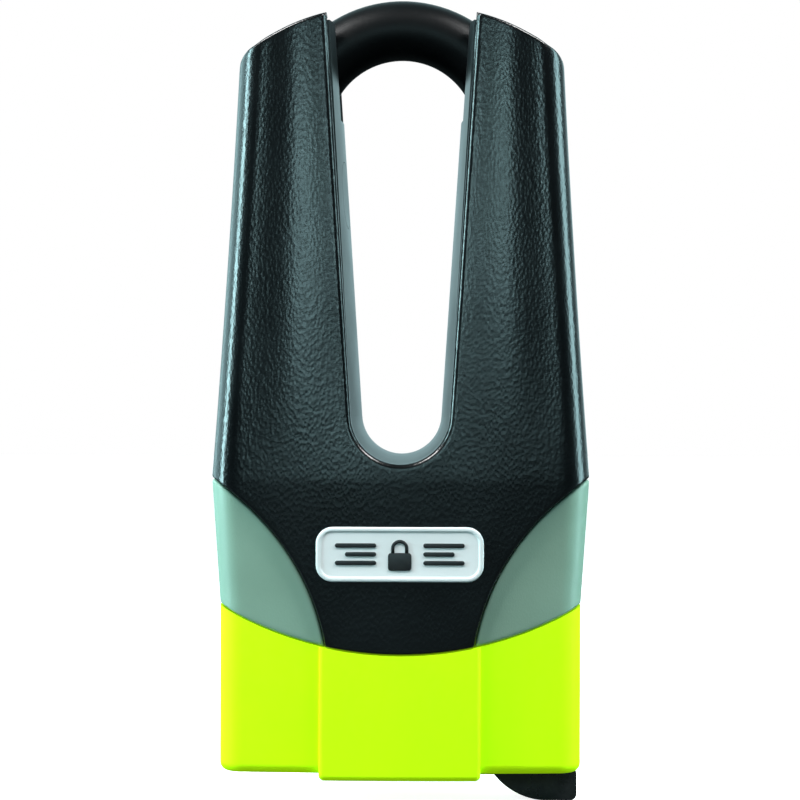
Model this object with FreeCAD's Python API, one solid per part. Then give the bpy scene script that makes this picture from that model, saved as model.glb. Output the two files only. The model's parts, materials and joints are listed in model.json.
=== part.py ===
import FreeCAD, Part
import math
import os
from FreeCAD import Vector

# Long-shackle brake disc lock. Millimetres.
# Frame: +Z along the shackle legs, the front faces -Y, +X is the side with the finger tab.
# Origin: on the lock cylinder's axis, at the lowest edge of the base cap.

# ---- driving sizes: shackle ----
BAR_D = 11.0             # hardened shackle bar
LEG_SPACING = 38.2       # between the two leg axes
BEND_RISE = 60.7         # window's lowest point to the centre of the shackle's bend
FOOT_CHAMFER = 1.5       # lead-in at the leg ends
NOTCH_DEPTH = 3.2        # locking notch, from the leg's inner side
NOTCH_SLACK = 0.7        # notch above and below its bolt

# ---- driving sizes: walls and clearances ----
LEG_CLEARANCE = 0.3      # radial, leg to bore, guard and wiper
FIT_CLEARANCE = 0.1      # radial, turning plug in its housing
PIN_CLEARANCE = 0.05     # radial, keyhole cover on its pivot
SLIDE_CLEARANCE = 0.08   # radial, locking bolt in its cross bore
SEAM = 0.12              # each side of a joint line between outer pieces
MOVING_GAP = 0.3         # beside anything that swings
GUARD_WALL = 2.0         # steel tube round each leg
BODY_SIDE_WALL = 2.1     # steel outside a guard tube
INNER_GAP = 1.4          # steel body to side of jacket
JACKET_WALL = 2.2        # plastic jacket, sides
FACE_WALL = 2.0          # plastic jacket, faces
ARM_TOP_WALL = 2.4       # plastic jacket, over the arms
PLATEAU = 1.4            # black covers and cap band stand proud of the side panels
HEAD_CLEARANCE = 0.3     # radial, screw heads in their wells
SHANK_CLEARANCE = 0.2    # radial and endways, screw shanks
OVERSHOOT = 20.0         # tools run this far past the solids they cut

# ---- driving sizes: outer form ----
DEPTH = 36.0             # over the covers, front to back
ARM_DEPTH_LOSS = 5.4     # the arms are thinner than that at their tips
HIP_FLARE = 1.55         # hip half width over the base's
WAIST_DROP = 0.95        # mid-arm half width under the base's
TIP_DROP = 3.7           # arm tip half width under the base's
HIP_RISE = 22.4          # cap's side edge to hip
WAIST_RISE = 36.0        # hip to mid-arm
FACE_CROWN_R = 300.0     # gentle crown of the front
EDGE_R = 5.0             # outer upright edges
PANEL_EDGE_R = 4.5       # the same on the side panels and the cap
TIP_RISE = 19.9          # bend centre to the arms' inner tips
TIP_OUT = 1.1            # window's side at the bend to the arms' inner tips
LOFT_OVER = 3.0          # the arms' form is drawn this far past the tips before it is cut
SHOULDER_RUN = 8.1       # across, inner tip to the middle of the arm's top
CORNER_RUN = 13.3        # across, inner tip to the start of the rounded shoulder corner
SHOULDER_FALL = 2.9      # down, inner tip to the middle of the arm's top
CORNER_FALL = 6.0        # down, inner tip to the start of that corner
CORNER_MID_FALL = 2.0    # down, the corner's start to its middle
CORNER_MID_IN = 0.9      # across, the corner's middle to its end
SHOULDER_END = 11.4      # down, inner tip to where the corner meets the side
SHOULDER_OUT = 1.2       # that point, outside the arm tip's half width
BAND_HALF = 14.5         # half width of the raised band on the base cap
BAND_EDGE_R = 1.0
CAP_EDGE_R = 1.6
CAP_ARC_R = 64.8         # arc of the cap's upper edge
CAP_ARC_LOW = 22.5       # lowest point of that arc
PANEL_ARC_R = 43.9       # arc between a side panel and the black cover
PANEL_ARC_OUT = 24.05    # its centre, outside the base's side
PANEL_ARC_DROP = 6.16    # its centre, below the cap arc's lowest point

# ---- driving sizes: window ----
WINDOW_R = 8.95          # rounded bottom of the window
WINDOW_TO_BAR = 1.3      # rim to the shackle's inner side, at the bend's height
LINER_T = 1.6
LINER_BOW = 1.6          # the liner's middle stands this far inside the rim
LINER_SINK = 0.3         # the liner's edges lie this far behind the rim
LINER_SLOT_RISE = 1.9    # bend centre to the start of the bar slot in the liner
LINER_RUN = 0.6          # the liner's curve is drawn this far past the jacket's cavity
LINER_FACE_GAP = 0.1     # liner to the inside of the jacket's faces
LINER_TOP_GAP = 0.3      # liner's ends under the arms' tops
PLUG_TALL = 12.2         # oval plug in the left wall of the liner
PLUG_WIDE = 8.0
PLUG_DROP = 11.7         # bend centre to the plug's centre
PLUG_FORWARD = 5.0       # plug's centre, in front of the mid plane

# ---- driving sizes: lock body and cylinder ----
FLOOR_Z = 1.1            # underside of the cap between its front and back lips
FLOOR_T = 2.5
LIP_HALF = 15.2          # lips begin this far from the mid plane
BODY_LIFT = 0.2          # cap floor to steel body
BODY_TOP_WALL = 10.2     # steel over the cam chamber
BODY_FACE_GAP = 2.6      # steel body to the inside of the jacket's faces
BODY_EDGE_R = 4.0
WINDOW_OVER_BODY = 2.9   # steel body's top to the window's lowest point
CYL_R = 7.6              # cylinder housing
CYL_LEN = 30.8
CORE_R = 5.2             # plug
CORE_BORE_R = 4.3
MOUTH_LIP = 0.8          # housing lip that holds the plug in
MOUTH_R = 4.4
GUARD_DISC_T = 1.4
AXIAL_GAP = 0.1
CORE_FRONT_T = 2.0
KEYWAY_W = 2.4
KEYWAY_L = 7.0
DISC_COUNT = 8
DISC_T = 1.9
SPACER_T = 1.0
SIDEBAR_W = 1.7
SIDEBAR_DEEP = 1.75
SIDEBAR_SLACK = 0.05     # each side of the sidebar, and its outer face inside the plug's
DISC_SLACK = 0.15        # radial, discs in the plug
TANG = 4.2               # square drive between plug and cam
TANG_STUB_R = 1.9
CAM_T = 6.0
CAM_LIFT = 0.6           # housing to cam
CAM_SPARE = 2.4          # free height over the cam
CAM_STEPS = 12           # points on each quarter of the cam
CAM_MIN_R = 3.2
BOLT_TRAVEL = 3.3
CAM_GAP = 0.9
CAM_CHAMBER_R = 7.2
BOLT_R = 3.5
BOLT_CONE = 2.0          # coned end at the cam
BOLT_CHAMFER = 0.6       # end at the leg
BOLT_SHORT = 0.25        # drawn back bolt to the leg's bore
RING_R = 3.4
RING_T = 0.7
STUB_OVER = 0.8          # plug's stub past its ring
BUFFER_T = 2.2
FOOT_TO_BOLT = 14.0      # bolt axis above the leg's lower end
GUARD_SEAT = 10.0        # guard tube pressed this far into the body
GUARD_SHORT = 9.6        # guard tube ends this far below the bend centre
WIPER_T = 3.0
WIPER_IN = 0.2           # wiper's rim inside the guard tube's
LOCK_PIN_R = 1.0
LOCK_PIN_Z = 14.0
SCREW_R = 1.5
SCREW_HEAD_R = 2.8
SCREW_HEAD_T = 1.6
SCREW_GRIP = 8.0
REAR_SCREW_X = 8.0
REAR_SCREW_DROP = 5.5    # below the steel body's top
REAR_SCREW_BLIND = 1.8   # jacket left in front of its hole
REAR_SCREW_BITE = 0.8    # its end, past the jacket's cavity
BOSS_WALL = 1.6          # plastic round its hole in the front cover
BOSS_ROOT = 0.5          # that boss runs this far into the wall
SCREW_SUNK = 0.4         # its head, under the rear cover's face
SOCKET_SHARE = 0.52      # hexagon socket's corner radius over the head's
SOCKET_DEEP = 1.0
BASE_SCREW_OUT = 3.9     # outside the leg axis

# ---- driving sizes: keyhole cover ----
PIVOT_R = 1.5
PIVOT_OUT = 1.4          # steel between the cylinder housing and the pivot's hole
PIVOT_HEAD_R = 3.4
PIVOT_HEAD_T = 1.0
PIVOT_HEAD_EDGE_R = 0.45
PIVOT_SHORT = 0.4        # pivot's end to the bottom of its hole
PIVOT_END_GAP = 0.05     # washer to the pivot's head
WASHER_T = 0.3
WASHER_IN = 0.3          # washer's rim inside the pivot's head
LEAF_T = 1.3
LEAF_TIP_R = 5.2         # over the keyhole
LEAF_HALF = 4.0
TAB_START = 17.2
TAB_END = 32.3
TAB_DEEP = 5.2           # below the origin plane
TAB_CORNER = 1.2
TAB_ROOT = 4.0           # the leaf runs this far into the tab
KEEL_RUN = 9.0           # tab's start to the flat of its keel
KEEL_MID_RUN = 3.0       # tab's start to the middle of the keel's curve
KEEL_MID_SHARE = 0.62    # depth of that middle over the tab's depth

# ---- driving sizes: badge ----
BADGE_W = 30.0
BADGE_H = 9.8
BADGE_CORNER = 3.0
BADGE_T = 1.5
BADGE_PROUD = 0.3
BADGE_RIM_R = 0.25       # softened rim of its front face
BADGE_RISE = 18.1        # cap arc's lowest point to the badge's centre

# ---- worked out from the sizes above ----
BAR_R = BAR_D / 2
LEG_X = LEG_SPACING / 2
BORE_R = BAR_R + LEG_CLEARANCE
GUARD_R = BORE_R + GUARD_WALL
BODY_HALF_W = LEG_X + GUARD_R + BODY_SIDE_WALL
BASE_HALF = BODY_HALF_W + INNER_GAP + JACKET_WALL
HALF_D = DEPTH / 2
CAVITY_HALF_D = HALF_D - PLATEAU - FACE_WALL
BODY_HALF_D = CAVITY_HALF_D - BODY_FACE_GAP
FLOOR_TOP = FLOOR_Z + FLOOR_T
BODY_Z0 = FLOOR_TOP + BODY_LIFT
CYL_TOP = BODY_Z0 + CYL_LEN
CAM_Z0 = CYL_TOP + CAM_LIFT
CHAMBER_TOP = CAM_Z0 + CAM_T + CAM_SPARE
BODY_Z1 = CHAMBER_TOP + BODY_TOP_WALL
WINDOW_Z = BODY_Z1 + WINDOW_OVER_BODY
WINDOW_CZ = WINDOW_Z + WINDOW_R
BEND_Z = WINDOW_Z + BEND_RISE
BEND_HALF = LEG_X - BAR_R - WINDOW_TO_BAR
BOLT_Z = CAM_Z0 + CAM_T / 2
FOOT_Z = BOLT_Z - FOOT_TO_BOLT
BORE_FLOOR = FOOT_Z - BUFFER_T - AXIAL_GAP
TIP_Z = BEND_Z + TIP_RISE
ABOVE = TIP_Z + OVERSHOOT
CAP_ARC_Z = CAP_ARC_LOW + CAP_ARC_R
CAP_SIDE_Z = CAP_ARC_Z - math.sqrt(CAP_ARC_R ** 2 - BASE_HALF ** 2)
HIP_Z = CAP_SIDE_Z + HIP_RISE
PANEL_ARC_X = BASE_HALF + PANEL_ARC_OUT
PANEL_ARC_Z = CAP_ARC_LOW - PANEL_ARC_DROP
BADGE_Z = CAP_ARC_LOW + BADGE_RISE
PIVOT_X = CYL_R + PIVOT_OUT + PIVOT_R
BASE_SCREW_X = LEG_X + BASE_SCREW_OUT
LEAF_TOP = FLOOR_Z - MOVING_GAP
LEAF_BOTTOM = LEAF_TOP - LEAF_T
SLOT_HALF = BAR_R + 2 * LEG_CLEARANCE
WIDE = BASE_HALF * 4     # half size of tools larger than the lock


def save(name, shape):
    """Write one node after a validity check."""
    if not shape.isValid():
        raise RuntimeError(name + " is not valid")
    shape.exportStep("parts/" + name + ".step")
    print(name, "volume", round(shape.Volume, 1), "solids", len(shape.Solids))


def box(x0, x1, y0, y1, z0, z1):
    return Part.makeBox(x1 - x0, y1 - y0, z1 - z0, Vector(x0, y0, z0))


def upright(radius, z0, z1, x=0.0, y=0.0):
    return Part.makeCylinder(radius, z1 - z0, Vector(x, y, z0))


def across(radius, x, z, y0=-WIDE, y1=WIDE):
    """Cylinder along Y."""
    return Part.makeCylinder(radius, y1 - y0, Vector(x, y0, z), Vector(0, 1, 0))


def mirrored(shape):
    return shape.mirror(Vector(0, 0, 0), Vector(1, 0, 0))


def compound(solids):
    return Part.makeCompound(solids)


# ---------------------------------------------------------------- outer form
def body_section(z, half_w, half_d, corner):
    """XY section: crowned front, flat back, rounded upright edges."""
    crown_y = FACE_CROWN_R - half_d
    fillet_x = half_w - corner
    reach = FACE_CROWN_R - corner
    fillet_y = crown_y - math.sqrt(reach ** 2 - fillet_x ** 2)
    fillet = Vector(fillet_x, fillet_y, z)
    crown = Vector(0, crown_y, z)
    out = (fillet - crown).normalize()
    touch = crown + out * FACE_CROWN_R
    middle = fillet + (out + Vector(1, 0, 0)).normalize() * corner
    side_front = Vector(half_w, fillet_y, z)
    side_back = Vector(half_w, half_d - corner, z)
    slant = corner * math.sqrt(0.5)
    back_middle = Vector(fillet_x + slant, half_d - corner + slant, z)
    back = Vector(fillet_x, half_d, z)

    def flip(point):
        return Vector(-point.x, point.y, point.z)

    edges = [
        Part.Arc(flip(touch), Vector(0, -half_d, z), touch),
        Part.Arc(touch, middle, side_front),
        Part.LineSegment(side_front, side_back),
        Part.Arc(side_back, back_middle, back),
        Part.LineSegment(back, flip(back)),
        Part.Arc(flip(back), flip(back_middle), flip(side_back)),
        Part.LineSegment(flip(side_back), flip(side_front)),
        Part.Arc(flip(side_front), flip(middle), flip(touch)),
    ]
    return Part.Wire([edge.toShape() for edge in edges])


def base_block(side_inset, face_inset, corner, z0):
    """Straight lower part of the form, from z0 to the cap's side edge."""
    ring = body_section(z0, BASE_HALF - side_inset, HALF_D - face_inset, corner)
    return Part.Face(ring).extrude(Vector(0, 0, CAP_SIDE_Z - z0))


def body_form(side_inset, face_inset, corner, z0):
    """Whole outer form, drawn in from the sides and the faces."""
    def ring(z, half_w, half_d):
        return body_section(z, half_w - side_inset, half_d - face_inset, corner)

    base = ring(CAP_SIDE_Z, BASE_HALF, HALF_D)
    hip = ring(HIP_Z, BASE_HALF + HIP_FLARE, HALF_D)
    waist_z = HIP_Z + WAIST_RISE
    share = WAIST_RISE / (TIP_Z - HIP_Z)
    waist = ring(waist_z, BASE_HALF - WAIST_DROP, HALF_D - share * ARM_DEPTH_LOSS / 2)
    tip_half_d = HALF_D - ARM_DEPTH_LOSS / 2
    tip = ring(TIP_Z + LOFT_OVER, BASE_HALF - TIP_DROP, tip_half_d)
    flank = Part.makeLoft([base, hip], True, True)
    arms = Part.makeLoft([hip, waist, tip], True, False)
    return base_block(side_inset, face_inset, corner, z0).fuse([flank, arms])


def arm_outline(drop):
    """Everything under the arms' sloping tops, lowered by drop."""
    tip_x = BEND_HALF + TIP_OUT

    def pt(x, fall):
        return Vector(x, -WIDE, TIP_Z - fall - drop)

    side = BASE_HALF - TIP_DROP + SHOULDER_OUT
    corner_x = tip_x + CORNER_RUN
    lift = [
        Part.Arc(pt(tip_x, 0), pt(tip_x + SHOULDER_RUN, SHOULDER_FALL),
                 pt(corner_x, CORNER_FALL)),
        Part.Arc(pt(corner_x, CORNER_FALL), pt(side - CORNER_MID_IN, CORNER_FALL + CORNER_MID_FALL),
                 pt(side, SHOULDER_END)),
    ]
    low = -OVERSHOOT
    points = [pt(side, SHOULDER_END), Vector(WIDE, -WIDE, TIP_Z - SHOULDER_END - drop),
              Vector(WIDE, -WIDE, low), Vector(-WIDE, -WIDE, low),
              Vector(-WIDE, -WIDE, TIP_Z - SHOULDER_END - drop)]
    edges = [edge.toShape() for edge in lift]
    edges += [Part.LineSegment(a, b).toShape() for a, b in zip(points, points[1:])]
    left = [mirrored(edge.toShape()) for edge in lift]
    top = Part.LineSegment(pt(tip_x, 0), pt(-tip_x, 0)).toShape()
    start = Part.LineSegment(points[-1], pt(-side, SHOULDER_END)).toShape()
    wire = Part.Wire(Part.__sortEdges__(edges + left + [top, start]))
    return Part.Face(wire).extrude(Vector(0, 2 * WIDE, 0))


# ---------------------------------------------------------------- window
def window_wire(y, inset):
    """U-shaped outline of the window at depth y, drawn in by inset."""
    radius = WINDOW_R - inset
    tilt = math.asin((BEND_HALF - WINDOW_R) / (BEND_Z - WINDOW_CZ))
    foot = Vector(radius * math.cos(tilt), y, WINDOW_CZ - radius * math.sin(tilt))
    rise = ABOVE - foot.z
    head = Vector(foot.x + rise * math.tan(tilt), y, ABOVE)
    left_foot = Vector(-foot.x, y, foot.z)
    left_head = Vector(-head.x, y, ABOVE)
    return Part.Wire([
        Part.Arc(left_foot, Vector(0, y, WINDOW_CZ - radius), foot).toShape(),
        Part.LineSegment(foot, head).toShape(),
        Part.LineSegment(head, left_head).toShape(),
        Part.LineSegment(left_head, left_foot).toShape(),
    ])


def window_prism(inset):
    return Part.Face(window_wire(-WIDE, inset)).extrude(Vector(0, 2 * WIDE, 0))


def window_barrel(middle, edge):
    """Window whose inset swells from edge at the faces to middle at mid depth."""
    half = CAVITY_HALF_D + LINER_RUN
    wires = []
    for step in range(-2, 3):
        share = step / 2
        wires.append(window_wire(share * half, middle + (edge - middle) * share ** 2))
    return Part.makeLoft(wires, True, False)


def bar_slot(z0, half):
    """Way for the bar between an arm's front and back, from z0 up."""
    straight = box(-LEG_X, LEG_X, -half, half, z0, ABOVE)
    ends = [upright(half, z0, ABOVE, side * LEG_X) for side in (-1, 1)]
    return straight.fuse(ends)


# ---------------------------------------------------------------- seams
def cap_arc(offset):
    return across(CAP_ARC_R + offset, 0, CAP_ARC_Z)


def panel_arc(side, offset):
    return across(PANEL_ARC_R + offset, side * PANEL_ARC_X, PANEL_ARC_Z)


# ---------------------------------------------------------------- jacket
def jacket_room(face_gap=0.0):
    """Space inside the jacket's walls, open at the arms' tops."""
    return body_form(JACKET_WALL, PLATEAU + FACE_WALL + face_gap, EDGE_R - FACE_WALL, FLOOR_TOP)


def jacket_cavity():
    """Room for the steel and the cylinder, closed over at the arms' tops."""
    return jacket_room().common(arm_outline(ARM_TOP_WALL))


def badge_prism(grow, y0, y1):
    half_w = BADGE_W / 2 + grow
    half_h = BADGE_H / 2 + grow
    plate = box(-half_w, half_w, y0, y1, BADGE_Z - half_h, BADGE_Z + half_h)
    upright_edges = [e for e in plate.Edges if abs(e.tangentAt(0).y) > 0.9]
    return plate.makeFillet(BADGE_CORNER + grow, upright_edges)


def badge_plate():
    front = -HALF_D - BADGE_PROUD
    plate = badge_prism(0, front, front + BADGE_T)
    rim = [e for e in plate.Edges if all(abs(v.Y - front) < 0.01 for v in e.Vertexes)]
    return plate.makeFillet(BADGE_RIM_R, rim)


def covers():
    """Front and rear black covers, split at the mid plane."""
    shell = body_form(0, 0, EDGE_R, 0).common(arm_outline(0)).common(cap_arc(-SEAM))
    shell = shell.cut(window_prism(0))
    for side in (-1, 1):
        shell = shell.cut(panel_arc(side, SEAM))
    shell = shell.cut(jacket_cavity())
    shell = shell.cut(jacket_room().common(liner_back(SEAM)))
    shell = shell.cut(bar_slot(BEND_Z - GUARD_SHORT + WIPER_T, SLOT_HALF))
    front = shell.common(box(-WIDE, WIDE, -WIDE, -SEAM / 2, -WIDE, ABOVE))
    rear = shell.common(box(-WIDE, WIDE, SEAM / 2, WIDE, -WIDE, ABOVE))
    pocket = badge_prism(SEAM, -WIDE, -HALF_D - BADGE_PROUD + BADGE_T)
    front = front.cut(pocket)
    screw_z = BODY_Z1 - REAR_SCREW_DROP
    for x in (-REAR_SCREW_X, REAR_SCREW_X):
        boss = across(SCREW_R + BOSS_WALL, x, screw_z, -CAVITY_HALF_D - BOSS_ROOT,
                      -BODY_HALF_D - BODY_LIFT)
        front = front.fuse(boss)
        front = front.cut(across(SCREW_R, x, screw_z, -HALF_D + REAR_SCREW_BLIND, 0))
        seat = HALF_D - SCREW_HEAD_T - SCREW_SUNK
        rear = rear.cut(across(SCREW_HEAD_R + HEAD_CLEARANCE, x, screw_z, seat, WIDE))
        rear = rear.cut(across(SCREW_R + SHANK_CLEARANCE, x, screw_z, 0, seat))
    return front.removeSplitter(), rear.removeSplitter()


def side_panel(side):
    """Grey panel that wraps one lower corner from the front round to the back."""
    form = body_form(0, PLATEAU, PANEL_EDGE_R, 0)
    panel = form.common(panel_arc(side, -SEAM)).common(cap_arc(-SEAM))
    return panel.cut(jacket_cavity()).removeSplitter()


def base_cap():
    """Bright cap with a raised band front and back, and an open-ended underside."""
    block = base_block(0, PLATEAU, PANEL_EDGE_R, FLOOR_Z)
    rim = [e for e in block.Edges if all(abs(v.Z - FLOOR_Z) < 0.01 for v in e.Vertexes)]
    block = block.makeFillet(CAP_EDGE_R, rim)
    band = base_block(0, 0, EDGE_R, 0)
    band = band.common(box(-BAND_HALF, BAND_HALF, -WIDE, WIDE, -WIDE, WIDE))
    sharp = []
    for edge in band.Edges:
        low = all(v.Z < 0.01 for v in edge.Vertexes)
        on_face = all(abs(v.Y) > HALF_D - 0.7 for v in edge.Vertexes)
        upright_edge = abs(edge.Vertexes[0].Z - edge.Vertexes[-1].Z) > 1
        if (low and on_face) or upright_edge:
            sharp.append(edge)
    band = band.makeFillet(BAND_EDGE_R, sharp)
    cap = block.fuse(band)
    cap = cap.cut(jacket_room()).cut(cap_arc(SEAM))
    cap = cap.cut(box(-WIDE, WIDE, -LIP_HALF, LIP_HALF, -WIDE, FLOOR_Z))
    cap = cap.cut(upright(MOUTH_R, 0, BODY_Z0))
    cap = cap.cut(upright(PIVOT_R, 0, BODY_Z0, PIVOT_X))
    for x in (-BASE_SCREW_X, BASE_SCREW_X):
        cap = cap.cut(upright(SCREW_HEAD_R + HEAD_CLEARANCE, 0, FLOOR_Z + SCREW_HEAD_T, x))
        cap = cap.cut(upright(SCREW_R + SHANK_CLEARANCE, 0, BODY_Z0, x))
    return cap.removeSplitter()


def plug_prism(shrink):
    """Oval across the left wall of the liner."""
    half = PLUG_WIDE / 2 - shrink
    straight = (PLUG_TALL - PLUG_WIDE) / 2
    z = BEND_Z - PLUG_DROP
    y = -PLUG_FORWARD
    bar = box(-LEG_X, 0, y - half, y + half, z - straight, z + straight)
    ends = []
    for end in (-straight, straight):
        ends.append(Part.makeCylinder(half, LEG_X, Vector(-LEG_X, y, z + end), Vector(1, 0, 0)))
    return bar.fuse(ends)


def liner_back(extra):
    """Back surface of the liner, pushed away from the window by extra."""
    return window_barrel(LINER_BOW - LINER_T - extra, -LINER_SINK - LINER_T - extra)


def window_liner():
    """Smooth bowed lining of the window, and the oval plug in its left wall."""
    liner = liner_back(0).cut(window_barrel(LINER_BOW, -LINER_SINK))
    liner = liner.common(jacket_room(LINER_FACE_GAP)).common(arm_outline(LINER_TOP_GAP))
    liner = liner.cut(bar_slot(BEND_Z + LINER_SLOT_RISE, SLOT_HALF))
    plug = liner.common(plug_prism(SEAM))
    return liner.cut(plug_prism(0)), plug


# ---------------------------------------------------------------- steel
def lock_body():
    body = box(-BODY_HALF_W, BODY_HALF_W, -BODY_HALF_D, BODY_HALF_D, BODY_Z0, BODY_Z1)
    body = body.makeFillet(BODY_EDGE_R, [e for e in body.Edges if abs(e.tangentAt(0).z) > 0.9])
    for side in (-1, 1):
        x = side * LEG_X
        body = body.cut(upright(BORE_R, BORE_FLOOR, BODY_Z1 + 1, x))
        body = body.cut(upright(GUARD_R, BODY_Z1 - GUARD_SEAT, BODY_Z1 + 1, x))
        body = body.cut(upright(SCREW_R, BODY_Z0, BODY_Z0 + SCREW_GRIP, side * BASE_SCREW_X))
        body = body.cut(across(SCREW_R + SHANK_CLEARANCE, side * REAR_SCREW_X, BODY_Z1 - REAR_SCREW_DROP))
    body = body.cut(upright(CYL_R, BODY_Z0, CYL_TOP))
    body = body.cut(upright(CAM_CHAMBER_R, CYL_TOP, CHAMBER_TOP))
    bolt_way = Part.makeCylinder(BOLT_R + SLIDE_CLEARANCE, LEG_SPACING,
                                 Vector(-LEG_X, 0, BOLT_Z), Vector(1, 0, 0))
    body = body.cut(bolt_way)
    body = body.cut(lock_pin())
    return body.cut(upright(PIVOT_R, BODY_Z0, BODY_Z0 + SCREW_GRIP, PIVOT_X))


def lock_pin():
    """Roll pin that holds the cylinder housing in the body."""
    return across(LOCK_PIN_R, -CYL_R, LOCK_PIN_Z, -BODY_HALF_D, CORE_R)


def leg_guard(side):
    top = BEND_Z - GUARD_SHORT
    tube = upright(GUARD_R, BODY_Z1 - GUARD_SEAT, top, side * LEG_X)
    tube = tube.cut(upright(BORE_R, 0, ABOVE, side * LEG_X))
    return tube.cut(liner_back(MOVING_GAP))


def leg_wiper(side):
    low = BEND_Z - GUARD_SHORT
    ring = upright(GUARD_R - WIPER_IN, low, low + WIPER_T, side * LEG_X)
    ring = ring.cut(upright(BORE_R, 0, ABOVE, side * LEG_X))
    return ring.cut(liner_back(MOVING_GAP))


def leg_buffer(side):
    return upright(BORE_R - FIT_CLEARANCE, BORE_FLOOR, BORE_FLOOR + BUFFER_T, side * LEG_X)


def shackle():
    bend_face = Part.Face(Part.Wire(Part.makeCircle(BAR_R, Vector(LEG_X, 0, BEND_Z))))
    bar = bend_face.revolve(Vector(0, 0, BEND_Z), Vector(0, -1, 0), 180)
    for side in (-1, 1):
        x = side * LEG_X
        leg = upright(BAR_R, FOOT_Z + FOOT_CHAMFER, BEND_Z, x)
        foot = Part.makeCone(BAR_R - FOOT_CHAMFER, BAR_R, FOOT_CHAMFER, Vector(x, 0, FOOT_Z))
        bar = bar.fuse([leg, foot])
    half = BOLT_R + NOTCH_SLACK
    reach = LEG_X - BAR_R + NOTCH_DEPTH
    notch = box(-reach, reach, -BAR_D, BAR_D, BOLT_Z - half, BOLT_Z + half)
    return bar.cut(notch).removeSplitter()


# ---------------------------------------------------------------- cylinder
CORE_Z0 = BODY_Z0 + MOUTH_LIP + GUARD_DISC_T + 2 * AXIAL_GAP
CORE_TOP = CYL_TOP - AXIAL_GAP
STACK_Z0 = CORE_Z0 + CORE_FRONT_T
STACK_TOP = STACK_Z0 + DISC_COUNT * DISC_T + (DISC_COUNT + 1) * SPACER_T + AXIAL_GAP


def keyway(z0, z1):
    half_w = KEYWAY_W / 2
    half_l = KEYWAY_L / 2
    return box(-half_w, half_w, -half_l, half_l, z0, z1)


def cylinder_housing():
    tube = upright(CYL_R, BODY_Z0, CYL_TOP)
    tube = tube.cut(upright(CORE_R + FIT_CLEARANCE, BODY_Z0 + MOUTH_LIP, CYL_TOP))
    return tube.cut(upright(MOUTH_R, BODY_Z0, CYL_TOP)).cut(lock_pin())


def guard_disc():
    z0 = BODY_Z0 + MOUTH_LIP + AXIAL_GAP
    return upright(CORE_R, z0, z0 + GUARD_DISC_T).cut(keyway(z0, z0 + GUARD_DISC_T))


def sidebar_box(z0, z1, grow):
    half = SIDEBAR_W / 2 + grow
    outer = CORE_R - SIDEBAR_SLACK
    return box(-half, half, outer - SIDEBAR_DEEP - grow, outer + 4 * grow, z0, z1)


def key_plug():
    plug = upright(CORE_R, CORE_Z0, CORE_TOP)
    plug = plug.cut(upright(CORE_BORE_R, STACK_Z0, STACK_TOP))
    plug = plug.cut(keyway(CORE_Z0, STACK_Z0))
    plug = plug.cut(sidebar_box(STACK_Z0, STACK_TOP, SIDEBAR_SLACK))
    half = TANG / 2
    tang = box(-half, half, -half, half, CORE_TOP, CAM_Z0 + CAM_T)
    stub = upright(TANG_STUB_R, CAM_Z0 + CAM_T, CAM_Z0 + CAM_T + RING_T + STUB_OVER)
    return plug.fuse([tang, stub])


def disc_stack():
    """Slotted discs and the plain spacers between them."""
    discs = []
    spacers = []
    z = STACK_Z0
    radius = CORE_BORE_R - DISC_SLACK
    for index in range(2 * DISC_COUNT + 1):
        thick = DISC_T if index % 2 else SPACER_T
        plate = upright(radius, z, z + thick).cut(keyway(z, z + thick))
        if index % 2:
            discs.append(plate.cut(sidebar_box(z, z + thick, SIDEBAR_SLACK)))
        else:
            spacers.append(plate.cut(sidebar_box(z, z + thick, SIDEBAR_SLACK)))
        z += thick
    return compound(discs), compound(spacers)


def drive_cam():
    """Two-lobed cam whose radius grows evenly over each quarter turn."""
    points = []
    for quarter in range(4):
        for step in range(CAM_STEPS):
            share = step / CAM_STEPS
            grow = share if quarter % 2 == 0 else 1 - share
            angle = (quarter + share) * math.pi / 2
            radius = CAM_MIN_R + BOLT_TRAVEL * grow
            points.append(Vector(radius * math.cos(angle), radius * math.sin(angle), CAM_Z0))
    cam = Part.Face(Part.makePolygon(points + points[:1])).extrude(Vector(0, 0, CAM_T))
    half = TANG / 2
    return cam.cut(box(-half, half, -half, half, CAM_Z0, CAM_Z0 + CAM_T))


def cam_ring():
    z0 = CAM_Z0 + CAM_T
    return upright(RING_R, z0, z0 + RING_T).cut(upright(TANG_STUB_R, z0, z0 + RING_T))


def bolt(side):
    """Locking bolt, drawn back: coned at the cam, rounded at the leg."""
    start = CAM_MIN_R + CAM_GAP
    end = LEG_X - BORE_R - BOLT_SHORT
    cone = BOLT_CONE
    nose = Part.makeCone(BOLT_R - cone, BOLT_R, cone, Vector(start, 0, BOLT_Z), Vector(1, 0, 0))
    rod = Part.makeCylinder(BOLT_R, end - start - cone, Vector(start + cone, 0, BOLT_Z),
                            Vector(1, 0, 0))
    tip = [e for e in rod.Edges if all(abs(v.X - end) < 0.01 for v in e.Vertexes)]
    solid = rod.makeChamfer(BOLT_CHAMFER, tip).fuse(nose).removeSplitter()
    return solid if side > 0 else mirrored(solid)


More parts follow.
